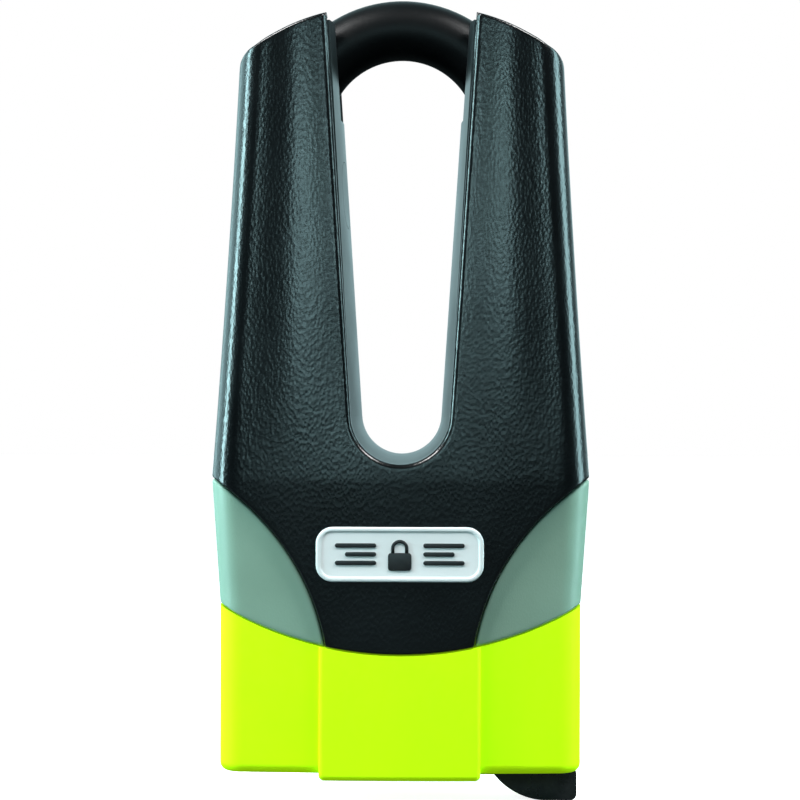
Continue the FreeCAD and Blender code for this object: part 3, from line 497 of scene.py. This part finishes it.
print("half width and depth at the hips:", [round(float(v), 2) for v in form_at(np.array(HIP_Z), 0.0)])

# %% [markdown]
# Skin points come from u and z through the section: a shallow crown across the face, the corner's arc,
# and then a flat side. Two more helpers go the other way, one from x on the face back to u, and one to
# the parting line at the mid plane, where front and rear mouldings meet.

# %% From u and z to points
def skin(u, z, depth, crown, inset, corner):
    """Points of the form's front half, sunk by depth along its normal."""
    crown_y, corner_x, corner_y, start, face = section(z, crown, inset, corner)
    swept = corner * (math.pi / 2 - start)
    slant = np.clip(u / crown, 0, start)
    turn = start + np.clip((u - face) / corner, 0, math.pi / 2 - start)
    on_face = u < face
    angle = np.where(on_face, slant, turn)
    x = np.where(on_face, crown * np.sin(slant), corner_x + corner * np.sin(turn))
    y = np.where(on_face, crown_y - crown * np.cos(slant), corner_y - corner * np.cos(turn))
    y = y + np.maximum(u - face - swept, 0)
    return np.stack([x - depth * np.sin(angle), y + depth * np.cos(angle), z], axis=-1)


def way_round(x, z, crown, inset, corner):
    """u of the point at x on the face or the corner."""
    _, corner_x, _, start, face = section(z, crown, inset, corner)
    on_corner = face + corner * (np.arcsin(np.clip((x - corner_x) / corner, -1, 1)) - start)
    return np.where(x < crown * np.sin(start), crown * np.arcsin(x / crown), on_corner)


def side_seam(z, crown, inset, corner, gap):
    """u of the parting line, gap short of the mid plane."""
    _, _, corner_y, start, face = section(z, crown, inset, corner)
    return face + corner * (math.pi / 2 - start) - gap - corner_y


probe = skin(np.array([0.0, 40.0]), np.array([60.0, 60.0]), 0.0, CROWN_R, 0.0, CORNER_R)
print("front middle and side at z 60:", probe.round(2).tolist())

# %% [markdown]
# Every skin piece is made the same way: four border lines in u and z, a grid stretched between them, and
# then borders that roll inwards with a small radius, because a mould cannot make a knife edge. How far a
# point has rolled depends on its true distance to the nearest border, so corners come out as balls.

# %% Rolled borders
def resample(line, fractions):
    """Points at the given fractions of a polyline's length."""
    line = np.asarray(line, float)
    run = np.concatenate([[0], np.cumsum(np.linalg.norm(np.diff(line, axis=0), axis=1))])
    at = np.asarray(fractions) * run[-1]
    return np.stack([np.interp(at, run, line[:, k]) for k in range(line.shape[1])], axis=-1)


def rolled_steps(count, length, near, far):
    """Fractions of a length with close steps inside the rolled radius at the near and far ends."""
    steps = [0.0]
    if near:
        steps += [near * f / length for f in (0.08, 0.24, 0.48, 0.76, 1.0, 1.5)]
    tail = []
    if far:
        tail = [1 - far * f / length for f in (1.5, 1.0, 0.76, 0.48, 0.24, 0.08)]
    inner = np.linspace(steps[-1], tail[0] if tail else 1.0, count + 1)
    return np.concatenate([steps[:-1], inner, tail[1:], [1.0] if tail else []])


def distance_to(points, line):
    """Distance from each point to a polyline, in 3-D."""
    start = line[:-1]
    along = line[1:] - start
    size = np.maximum((along ** 2).sum(-1), 1e-12)
    best = np.full(len(points), 1e9)
    for a, d, s in zip(start, along, size):
        t = np.clip(((points - a) @ d) / s, 0, 1)
        best = np.minimum(best, np.linalg.norm(points - a - t[:, None] * d, axis=1))
    return best


def rolled_depth(grid, borders):
    """Depth by which each grid point has rolled in; borders are (3-D line, radius)."""
    flat = grid.reshape(-1, 3)
    square = np.zeros(len(flat))
    weight = np.zeros(len(flat))
    total = np.zeros(len(flat))
    for line, radius in borders:
        share = np.clip(1 - distance_to(flat, line) / radius, 0, 1)
        share = np.where(share > 0.995, 1.0, share)
        square += share ** 2
        weight += share
        total += share * radius
    radius = total / np.maximum(weight, 1e-9)
    depth = radius * (1 - np.sqrt(1 - np.minimum(square, 1)))
    return depth.reshape(grid.shape[:2])


print("steps along 20 mm with rolled ends:", len(rolled_steps(22, 20.0, 0.5, 0.5)))

# %% [markdown]
# Faces are lists of vertex numbers. A grid gives quads, two rows give a strip, and rings joined in order
# give a stepped plate. The mesh is then welded, its normals are turned outwards, and its open edges are
# counted, because a closed shell is what the library needs.

# %% Faces and mesh objects
WELD, SLIVER = 0.004 * MM, 0.002 * MM
SHARP = math.radians(40)


def quads(rows, columns, offset, flip):
    """Faces of a grid of vertices stored row by row from offset."""
    faces = []
    for i in range(rows - 1):
        for j in range(columns - 1):
            a = offset + i * columns + j
            face = (a, a + 1, a + columns + 1, a + columns)
            faces.append(face[::-1] if flip else face)
    return faces


def strip(first, second, flip):
    """Faces between two rows of vertex numbers."""
    faces = []
    for a, b, c, d in zip(first, first[1:], second[1:], second):
        faces.append((d, c, b, a) if flip else (a, b, c, d))
    return faces


def stepped_plate(rings):
    """Points and faces of a solid whose rings are joined in order and closed at both ends."""
    count = len(rings[0])
    points = [p for ring in rings for p in ring]
    faces = []
    for r in range(len(rings) - 1):
        for k in range(count):
            n = (k + 1) % count
            faces.append((r * count + k, r * count + n, (r + 1) * count + n, (r + 1) * count + k))
    faces.append(tuple(range(count)))
    faces.append(tuple(reversed(range((len(rings) - 1) * count, len(rings) * count))))
    return points, faces


def mesh_object(name, points, faces, material):
    """Smooth-shaded closed mesh from millimetre points; doubles merged and normals turned outwards."""
    mesh = bpy.data.meshes.new(name)
    mesh.from_pydata([tuple(MM * float(c) for c in p) for p in points], [], faces)
    work = bmesh.new()
    work.from_mesh(mesh)
    bmesh.ops.remove_doubles(work, verts=work.verts, dist=WELD)
    bmesh.ops.dissolve_degenerate(work, edges=work.edges, dist=SLIVER)
    bmesh.ops.recalc_face_normals(work, faces=work.faces)
    open_edges = sum(1 for e in work.edges if len(e.link_faces) != 2)
    work.to_mesh(mesh)
    work.free()
    mesh.polygons.foreach_set("use_smooth", [True] * len(mesh.polygons))
    mesh.materials.append(material)
    made = bpy.data.objects.new(name, mesh)
    bpy.context.scene.collection.objects.link(made)
    print(name, "faces", len(mesh.polygons), "open edges", open_edges)
    return made


# %% [markdown]
# The jacket's outline is a handful of arcs and lines: the round foot and straight sides of the window, the
# arc where the cap begins, the larger arcs of the side panels, and the arm tops, which slope gently
# outwards and then turn down round the shoulder. Three points fix each of those two arcs.

# %% Sizes and outline of the jacket
WINDOW_R, WINDOW_CZ, WINDOW_TILT = 8.95, 65.65, math.asin(3.35 / 51.75)
CAP_R, CAP_CZ = 64.68, 87.3
PANEL_R, PANEL_X, PANEL_CZ = 44.02, 56.65, 16.34
LEG_X, SLOT_HALF = 19.1, 6.1
SPLIT = 0.06
WALL = 2.2
ARM_BULGE = 0.42
SCREW_X, SCREW_Z = 8.0, 48.3
WELL_R, WELL_SEAT = 3.1, 16.0
RIM_R, TOP_R, SEAM_R, PART_R = 0.95, 0.55, 0.40, 0.25
ARM_TIP, ARM_MIDDLE, ARM_BEND = (13.4, 138.1), (21.5, 135.15), (26.9, 132.1)
SHOULDER_MIDDLE, SHOULDER_END = (28.9, 130.4), (29.5, 128.5)
ARM_TIP_X = 13.62


def circle_through(p, q, r):
    """Centre and radius of the circle through three points."""
    (ax, ay), (bx, by), (cx, cy) = p, q, r
    d = 2 * (ax * (by - cy) + bx * (cy - ay) + cx * (ay - by))
    a, b, c = ax * ax + ay * ay, bx * bx + by * by, cx * cx + cy * cy
    ux = (a * (by - cy) + b * (cy - ay) + c * (ay - by)) / d
    uy = (a * (cx - bx) + b * (ax - cx) + c * (bx - ax)) / d
    return ux, uy, math.hypot(ax - ux, ay - uy)


SLOPE = circle_through(ARM_TIP, ARM_MIDDLE, ARM_BEND)
SHOULDER = circle_through(ARM_BEND, SHOULDER_MIDDLE, SHOULDER_END)


def arm_top(x):
    """Height of the arm's sloping top at x."""
    x = np.asarray(x, float)
    slope = SLOPE[1] + np.sqrt(np.maximum(SLOPE[2] ** 2 - (x - SLOPE[0]) ** 2, 0))
    bend = SHOULDER[1] + np.sqrt(np.maximum(SHOULDER[2] ** 2 - (x - SHOULDER[0]) ** 2, 0))
    return np.where(x < ARM_BEND[0], slope, bend)


def window_side(z):
    """x of the window's straight side at height z."""
    foot_x = WINDOW_R * math.cos(WINDOW_TILT)
    foot_z = WINDOW_CZ - WINDOW_R * math.sin(WINDOW_TILT)
    return foot_x + (z - foot_z) * math.tan(WINDOW_TILT)


print("arm top at tip and bend:", [round(float(arm_top(x)), 2) for x in (ARM_TIP_X, ARM_BEND[0])])

# %% [markdown]
# One half of a cover is a single grid. Its inner border runs round the window's foot and up the arm, its
# outer border follows the cap, the side panel and the parting line, and the arm top closes it. Points
# stand close together where a border will roll, and the last rows slide over to the slope of the top.

# %% Borders and grid of half a cover
def jacket_half(crown):
    """Borders and grid of one half of the front; returns u, z and the three border lines in (u, z)."""
    form = (crown, 0.0, CORNER_R)

    def on_skin(xs, zs):
        zs = np.asarray(zs, float)
        return np.stack([way_round(np.asarray(xs, float), zs, *form), zs], axis=-1)

    angle = np.linspace(0, math.pi / 2 - WINDOW_TILT, 60)
    arc = on_skin(WINDOW_R * np.sin(angle), WINDOW_CZ - WINDOW_R * np.cos(angle))
    height = np.linspace(WINDOW_CZ - WINDOW_R * math.sin(WINDOW_TILT), float(arm_top(ARM_TIP_X)), 80)
    straight = on_skin(window_side(height), height)
    xs = np.linspace(0, 20, 4000)
    cap = CAP_CZ - np.sqrt(CAP_R ** 2 - xs ** 2)
    inside = np.hypot(xs - PANEL_X, cap - PANEL_CZ) > PANEL_R
    corner_x = xs[inside][-1]
    xs = np.linspace(0, corner_x, 30)
    cap = on_skin(xs, CAP_CZ - np.sqrt(CAP_R ** 2 - xs ** 2))
    zs = np.linspace(cap[-1, 1], 60, 600)
    px = PANEL_X - np.sqrt(PANEL_R ** 2 - (zs - PANEL_CZ) ** 2)
    keep = px < form_at(zs, 0.0)[0]
    panel = on_skin(px[keep], zs[keep])
    end_z = panel[-1, 1]
    across = np.linspace(panel[-1, 0], side_seam(np.array(end_z), *form, SPLIT), 20)[1:]
    panel = np.concatenate([panel, np.stack([across, np.full(19, end_z)], axis=-1)])
    xs = np.linspace(ARM_TIP_X, 30.0, 2000)
    tops = arm_top(xs)
    keep = xs < form_at(tops, 0.0)[0]
    top = on_skin(xs[keep], tops[keep])
    top_z = top[-1, 1]
    across = np.linspace(top[-1, 0], side_seam(np.array(top_z), *form, SPLIT), 20)[1:]
    top = np.concatenate([top, np.stack([across, np.full(19, top_z)], axis=-1)])
    heights = np.linspace(end_z, top_z, 80)
    seam = np.stack([side_seam(heights, *form, SPLIT), heights], axis=-1)
    lower, middle, upper = 16, 34, rolled_steps(76, 70.0, 0, TOP_R)
    inner = np.concatenate([
        resample(arc, np.linspace(0, 0.42, lower + 1)),
        resample(np.concatenate([resample(arc, np.linspace(0.42, 1, 30)), straight[1:4]]),
                 np.linspace(0, 1, middle + 1))[1:],
        resample(straight[3:], upper)[1:]])
    outer = np.concatenate([
        resample(cap, np.linspace(0, 1, lower + 1)),
        resample(panel, np.linspace(0, 1, middle + 1))[1:],
        resample(seam, upper)[1:]])
    spacing = rolled_steps(46, 34.0, RIM_R, SEAM_R)
    end = resample(top, spacing)
    share = np.concatenate([np.zeros(lower + middle), np.linspace(0, 1, len(upper))]) ** 2
    s, v = share[:, None, None], spacing[None, :, None]
    ruled = inner[:, None] * (1 - v) + outer[:, None] * v
    straight_end = inner[-1] * (1 - v[0]) + outer[-1] * v[0]
    grid = ruled + s * (end - straight_end)[None]
    return grid, inner, np.concatenate([cap, panel[1:]]), seam, top


print("grid of half a cover:", jacket_half(CROWN_R)[0].shape[:2])

# %% [markdown]
# A cover is that half, thickened, and its mirror image. Each arm bulges a little across its width, which
# gathers the sheen into a band down its middle, and it falls away steadily towards the window. On top, the
# wall runs back to the parting plane and leaves the slot that the bar passes through.

# %% Thick covers
BULGE_FOOT, BULGE_RUN, BULGE_FADE = 47.0, 36.0, 6.0
FALL_FOOT, FALL_RUN = 62.0, 25.0
STRAIGHT_Z = 66.0


def cover(name, crown, rear):
    """One black cover: outer skin, inner skin, rolled borders and the slotted arm tops."""
    form = (crown, 0.0, CORNER_R)
    grid, window, lower, seam, top = jacket_half(crown)
    u, z = grid[..., 0], grid[..., 1]
    plain = skin(u, z, 0.0, *form)
    lines = [(skin(line[:, 0], line[:, 1], 0.0, *form), radius)
             for line, radius in ((window, RIM_R), (lower, SEAM_R), (seam, PART_R), (top, TOP_R))]
    roll = rolled_depth(plain, lines)
    face = section(z, *form)[4]
    on_straight = np.maximum(z, STRAIGHT_Z)
    edge = way_round(window_side(on_straight), on_straight, *form)
    across = np.clip((u - edge) / (face - edge), 0, 1)
    rise = np.clip((z - BULGE_FOOT) / BULGE_RUN, 0, 1)
    wave = 0.5 + 0.5 * np.cos(2 * math.pi * across)
    fall = np.where(across < 0.5, np.clip((z - FALL_FOOT) / FALL_RUN, 0, 1), 0)
    shape = wave + fall * ((2 * across - 1) ** 2 - wave)
    bulge = ARM_BULGE * rise * rise * (3 - 2 * rise) * shape
    bulge *= 1 - np.clip((u - face) / BULGE_FADE, 0, 1)
    rows, columns = u.shape
    outer = skin(u, z, roll + bulge, *form)
    inner = skin(u, z, WALL + 0 * u, *form)
    xs = np.linspace(window_side(float(z[-1, 0])), float(outer[-1, -1, 0]), columns)
    ends = np.where(xs < LEG_X, -SLOT_HALF, -np.sqrt(np.maximum(SLOT_HALF ** 2 - (xs - LEG_X) ** 2, 0)))
    ends = np.minimum(ends, -SPLIT)
    rim = outer[-1]
    error = arm_top(rim[:, 0]) - rim[:, 2]
    deck = []
    for t in np.linspace(0, 1, 7)[1:]:
        x = rim[:, 0] * (1 - t) + xs * t
        y = rim[:, 1] * (1 - t) + ends * t
        deck.append(np.stack([x, y, arm_top(x) - error * (1 - t)], axis=-1))
    deck = np.array(deck)
    points = np.concatenate([outer.reshape(-1, 3), inner.reshape(-1, 3), deck.reshape(-1, 3)])
    size = rows * columns
    faces = quads(rows, columns, 0, False) + quads(rows, columns, size, True)
    left = [i * columns for i in range(rows)]
    right = [i * columns + columns - 1 for i in range(rows)]
    last = [(rows - 1) * columns + j for j in range(columns)]
    faces += strip(left, [size + k for k in left], True)
    faces += strip(right, [size + k for k in right], False)
    decks = [[2 * size + r * columns + j for j in range(columns)] for r in range(len(deck))]
    run = [last] + decks + [[size + k for k in last]]
    for first, second in zip(run, run[1:]):
        faces += strip(first, second, False)
    for ends_of in (0, -1):
        faces.append(tuple(row[ends_of] for row in run))
    count = len(points)
    mirror = points * np.array([-1, 1, 1])
    faces += [tuple(count + k for k in reversed(face)) for face in faces]
    points = np.concatenate([points, mirror])
    if rear:
        points = points * np.array([1, -1, 1])
    return mesh_object(name, points, faces, black_grained)


front_jacket = cover("front_jacket", CROWN_R, False)
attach(front_jacket, "lock")
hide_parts("front_cover")
rear_jacket = cover("rear_jacket", FLAT_R, True)

# %% [markdown]
# Two screws reach the steel body from behind, at the bottom of round wells. A Boolean with a plain
# cylinder cuts each well, and the result is baked into the mesh, so that no cutter is left in the scene.

# %% Screw wells in the rear cover
def bore(piece, x, z, radius, seat):
    """Cut a flat-bottomed round well into the piece's rear face and bake the result into its mesh."""
    turns, rings = 64, []
    for y in (seat, DEEP + 1.0):
        rings.append([(x + radius * math.cos(2 * math.pi * k / turns), y,
                       z + radius * math.sin(2 * math.pi * k / turns)) for k in range(turns)])
    points, faces = stepped_plate(rings)
    cutter = mesh_object("cutter", points, faces, black_grained)
    cut = piece.modifiers.new("well", "BOOLEAN")
    cut.operation = "DIFFERENCE"
    cut.solver = "EXACT"
    cut.object = cutter
    shape = piece.evaluated_get(bpy.context.evaluated_depsgraph_get())
    piece.data, old = bpy.data.meshes.new_from_object(shape), piece.data
    piece.modifiers.clear()
    piece.data.set_sharp_from_angle(angle=SHARP)
    bpy.data.meshes.remove(old)
    cutter_mesh = cutter.data
    bpy.data.objects.remove(cutter)
    bpy.data.meshes.remove(cutter_mesh)
    print("well at", x, z, "faces", len(piece.data.polygons))


for side in (-1, 1):
    bore(rear_jacket, side * SCREW_X, SCREW_Z, WELL_R, WELL_SEAT)
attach(rear_jacket, "lock")
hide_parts("rear_cover")

# %% [markdown]
# Inside each arm a web closes the space round the leg just above the rubber ring, so that nobody looks
# down through the slot into the body of the lock. It is a flat plate with a clear hole for the leg.

# %% Arm webs
WEB_LOW, WEB_HIGH = 111.1, 112.1
WEB_HOLE = 5.9
WEB_NEAR, WEB_FAR, WEB_HALF = 12.7, 27.6, 12.9


def arm_web(name, side):
    """Flat plate with a round hole; its edge is cut from the same rays as the hole."""
    turns = 96
    hole, edge = [], []
    for k in range(turns):
        c, s = math.cos(2 * math.pi * k / turns), math.sin(2 * math.pi * k / turns)
        across = (WEB_FAR - LEG_X if c > 0 else LEG_X - WEB_NEAR) / max(abs(c), 1e-9)
        reach = min(across, WEB_HALF / max(abs(s), 1e-9))
        hole.append((side * (LEG_X + WEB_HOLE * c), WEB_HOLE * s))
        edge.append((side * (LEG_X + reach * c), reach * s))
    points = [(x, y, z) for ring, z in ((hole, WEB_LOW), (edge, WEB_LOW), (edge, WEB_HIGH), (hole, WEB_HIGH))
              for x, y in ring]
    faces = []
    for r in range(4):
        for k in range(turns):
            n = (k + 1) % turns
            after = (r + 1) % 4
            faces.append((r * turns + k, r * turns + n, after * turns + n, after * turns + k))
    made = mesh_object(name, points, faces, black_smooth)
    made.data.set_sharp_from_angle(angle=SHARP)
    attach(made, "lock")


arm_web("arm_web_left", -1)
arm_web("arm_web_right", 1)

# %% [markdown]
# A side panel is a lens of skin between the cap's arc below and its own arc above, and it wraps round the
# corner to the back of the lock. Front and back halves are separate grids that meet at the mid plane. It
# stands 1.4 mm behind the black jacket, which hides the joint between the two mouldings.

# %% Side panels
PLATEAU = 1.4
PANEL_CORNER = 4.5
PANEL_WALL = 2.0
PANEL_GAP = 0.24
PANEL_ROLL = 0.45


def panel_quarter(crown):
    """Outer and inner grids of the front right quarter of a side panel."""
    form = (crown, PLATEAU, PANEL_CORNER)
    inner_r = PANEL_R - PANEL_GAP
    xs = np.linspace(10, 24, 6000)
    low = CAP_CZ - np.sqrt(CAP_R ** 2 - xs ** 2)
    tip_x = xs[np.hypot(xs - PANEL_X, low - PANEL_CZ) < inner_r][0]
    tip_z = CAP_CZ - math.sqrt(CAP_R ** 2 - tip_x ** 2)
    lines = []
    xs = np.linspace(tip_x, BASE_HALF + 2, 3000)
    low = CAP_CZ - np.sqrt(CAP_R ** 2 - xs ** 2)
    keep = xs < form_at(low, 0.0)[0]
    lines.append((xs[keep], low[keep]))
    zs = np.linspace(tip_z, 60, 3000)
    px = PANEL_X - np.sqrt(inner_r ** 2 - (zs - PANEL_CZ) ** 2)
    keep = px < form_at(zs, 0.0)[0]
    lines.append((px[keep], zs[keep]))
    borders = []
    for x, z in lines:
        line = np.stack([way_round(x, z, *form), z], axis=-1)
        end = side_seam(np.array(z[-1]), *form, 0.0)
        across = np.linspace(line[-1, 0], end, 20)[1:]
        borders.append(np.concatenate([line, np.stack([across, np.full(19, z[-1])], axis=-1)]))
    low, high = borders
    along = np.linspace(0, 1, 61) ** 1.15
    steps = rolled_steps(22, 20.0, PANEL_ROLL, PANEL_ROLL)[None, :, None]
    grid = resample(low, along)[:, None] * (1 - steps) + resample(high, along)[:, None] * steps
    u, z = grid[..., 0], grid[..., 1]
    plain = skin(u, z, 0.0, *form)
    roll = rolled_depth(plain, [(skin(line[:, 0], line[:, 1], 0.0, *form), PANEL_ROLL)
                                for line in (resample(low, np.linspace(0, 1, 80)),
                                             resample(high, np.linspace(0, 1, 80)))])
    return skin(u, z, roll, *form), skin(u, z, PANEL_WALL + 0 * u, *form)


print("grid of a panel's quarter:", panel_quarter(CROWN_R)[0].shape[:2])

# %% [markdown]
# Front and back quarters share the mid plane, so their last points are laid exactly on it and weld there.

# %% Left and right panels
def side_panel(name, side):
    """Front and back quarters of one panel, side -1 on the left and 1 on the right."""
    points, faces = [], []
    for crown, back in ((CROWN_R, 1), (FLAT_R, -1)):
        outer, inner = panel_quarter(crown)
        outer[-1, :, 1] = 0.0
        inner[-1, :, 1] = 0.0
        offset = sum(len(p) for p in points)
        rows, columns = outer.shape[:2]
        size = rows * columns
        faces += quads(rows, columns, offset, False) + quads(rows, columns, offset + size, True)
        for column in (0, columns - 1):
            edge = [offset + i * columns + column for i in range(rows)]
            faces += strip(edge, [size + k for k in edge], column == 0)
        both = np.concatenate([outer.reshape(-1, 3), inner.reshape(-1, 3)])
        points.append(both * np.array([side, back, 1]))
    made = mesh_object(name, np.concatenate(points), faces, panel_grey)
    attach(made, "lock")
    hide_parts(name.replace("skin", "panel"))


side_panel("side_skin_left", -1)
side_panel("side_skin_right", 1)

# %% [markdown]
# The badge plate carries no name. Its face is a shallow tray inside a raised rim. The outline is a rounded
# rectangle stepped inwards ring by ring, and each ring stands at its own depth.

# %% Badge plate
BADGE_Z, BADGE_FRONT = 40.6, -18.3
BADGE_HALF_W, BADGE_HALF_H, BADGE_R = 15.0, 4.9, 3.0


def rounded_ring(half_w, half_h, radius, y, steps=10):
    """Closed loop of points of a rounded rectangle in the plane at y, centred on the badge."""
    ring = []
    for corner, (sx, sz) in enumerate(((1, 1), (-1, 1), (-1, -1), (1, -1))):
        for step in range(steps + 1):
            angle = math.pi / 2 * (corner + step / steps)
            ring.append((sx * (half_w - radius) + radius * math.cos(angle), y,
                         BADGE_Z + sz * (half_h - radius) + radius * math.sin(angle)))
    return ring


TRAY_STEPS = ((0.0, 1.5), (0.0, 0.22), (0.03, 0.12), (0.10, 0.04), (0.22, 0.0), (0.62, 0.0),
              (0.74, 0.03), (0.82, 0.12), (0.92, 0.17), (1.1, 0.18))
rings = []
for inset, sink in TRAY_STEPS:
    rings.append(rounded_ring(BADGE_HALF_W - inset, BADGE_HALF_H - inset, BADGE_R - inset,
                              BADGE_FRONT + sink))
badge_tray = mesh_object("badge_tray", *stepped_plate(rings), badge_white)
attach(badge_tray, "lock")
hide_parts("badge_plate")


# %% [markdown]
# A small padlock with rounded bars on either side stands in black enamel where a maker would put a mark.
# Each stroke is a low body with a soft edge that sinks a little into the tray.

# %% Padlock and bars in enamel
STROKE_STEPS = ((0.0, 0.24), (0.0, 0.08), (0.04, 0.03), (0.12, 0.01))
BOW_STEPS = ((-0.5, 0.24), (-0.5, 0.08), (-0.38, 0.01), (0.38, 0.01), (0.5, 0.08), (0.5, 0.24))


def enamel_bar(x0, x1, z0, z1):
    """Points and faces of a low rounded bar standing on the tray."""
    half_w, half_h = (x1 - x0) / 2, (z1 - z0) / 2
    radius = min(half_w, half_h) * 0.98
    made = []
    for inset, sink in STROKE_STEPS:
        ring = rounded_ring(half_w - inset, half_h - inset, min(radius, 0.55) - inset, BADGE_FRONT + sink, 5)
        made.append([(x + (x0 + x1) / 2, y, z - BADGE_Z + (z0 + z1) / 2) for x, y, z in ring])
    return stepped_plate(made)


def enamel_arch(outer, thick, base, rise):
    """Points and faces of the padlock's bow, a half ring on two short legs."""
    path = [(-outer + thick / 2, base), (-outer + thick / 2, base + rise)]
    path += [(-(outer - thick / 2) * math.cos(math.pi * k / 16), base + rise
              + (outer - thick / 2) * math.sin(math.pi * k / 16)) for k in range(1, 16)]
    path += [(outer - thick / 2, base + rise), (outer - thick / 2, base)]
    points, faces = [], []
    for k, (x, z) in enumerate(path):
        ax, az = path[max(k - 1, 0)]
        bx, bz = path[min(k + 1, len(path) - 1)]
        size = math.hypot(bx - ax, bz - az)
        nx, nz = -(bz - az) / size, (bx - ax) / size
        for across, sink in BOW_STEPS:
            points.append((x + nx * thick * across, BADGE_FRONT + sink, z + nz * thick * across))
    count = len(BOW_STEPS)
    for k in range(len(path) - 1):
        for j in range(count):
            n = (j + 1) % count
            faces.append((k * count + j, k * count + n, (k + 1) * count + n, (k + 1) * count + j))
    faces.append(tuple(range(count)))
    faces.append(tuple(reversed(range(len(points) - count, len(points)))))
    return points, faces


marks_made = [enamel_bar(-2.1, 2.1, BADGE_Z - 2.9, BADGE_Z + 0.3),
              enamel_arch(1.55, 0.62, BADGE_Z + 0.25, 0.85)]
for side in (-1, 1):
    for low, length in ((-1.9, 7.4), (-0.35, 5.6), (1.2, 7.4)):
        near, far = side * 4.2, side * (4.2 + length)
        marks_made.append(enamel_bar(min(near, far), max(near, far), BADGE_Z + low, BADGE_Z + low + 0.8))
points, faces = [], []
for some_points, some_faces in marks_made:
    faces += [tuple(len(points) + k for k in face) for face in some_faces]
    points += some_points
badge_mark = mesh_object("badge_mark", points, faces, badge_ink)
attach(badge_mark, "lock")

# %% [markdown]
# ## Finishes for the CAD nodes
# Each node keeps its CAD mesh and takes the finish that its slot in the record names. Three of them get
# a small bevel on their sharp edges, so that the plug, the finger tab and the cap show a line of light.

# %% Give every node its finish
FINISH = {"black_grained": black_grained, "black_smooth": black_smooth, "panel_grey": panel_grey,
          "cap_yellow": cap_yellow, "bar_black": bar_black, "zinc_steel": zinc_steel,
          "hard_steel": hard_steel, "brass": brass, "rubber": rubber, "badge_white": badge_white,
          "tab_black": tab_black}
for part in frame["record"]["subparts"]:
    mesh = nodes[part["node"]].data
    mesh.materials.clear()
    mesh.materials.append(FINISH[part["material_slot"]])
for name, width in (("liner_plug", 0.22), ("keyhole_cover", 0.25), ("base_cap", 0.10)):
    edge = nodes[name].modifiers.new("edge", "BEVEL")
    edge.width = width * MM
    edge.segments = 3
    edge.limit_method = "ANGLE"
    edge.angle_limit = math.radians(50)

# %% Sizes and finish
low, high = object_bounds()
print("visual box in mm:", [round(v / MM, 1) for v in (*low, *high)])
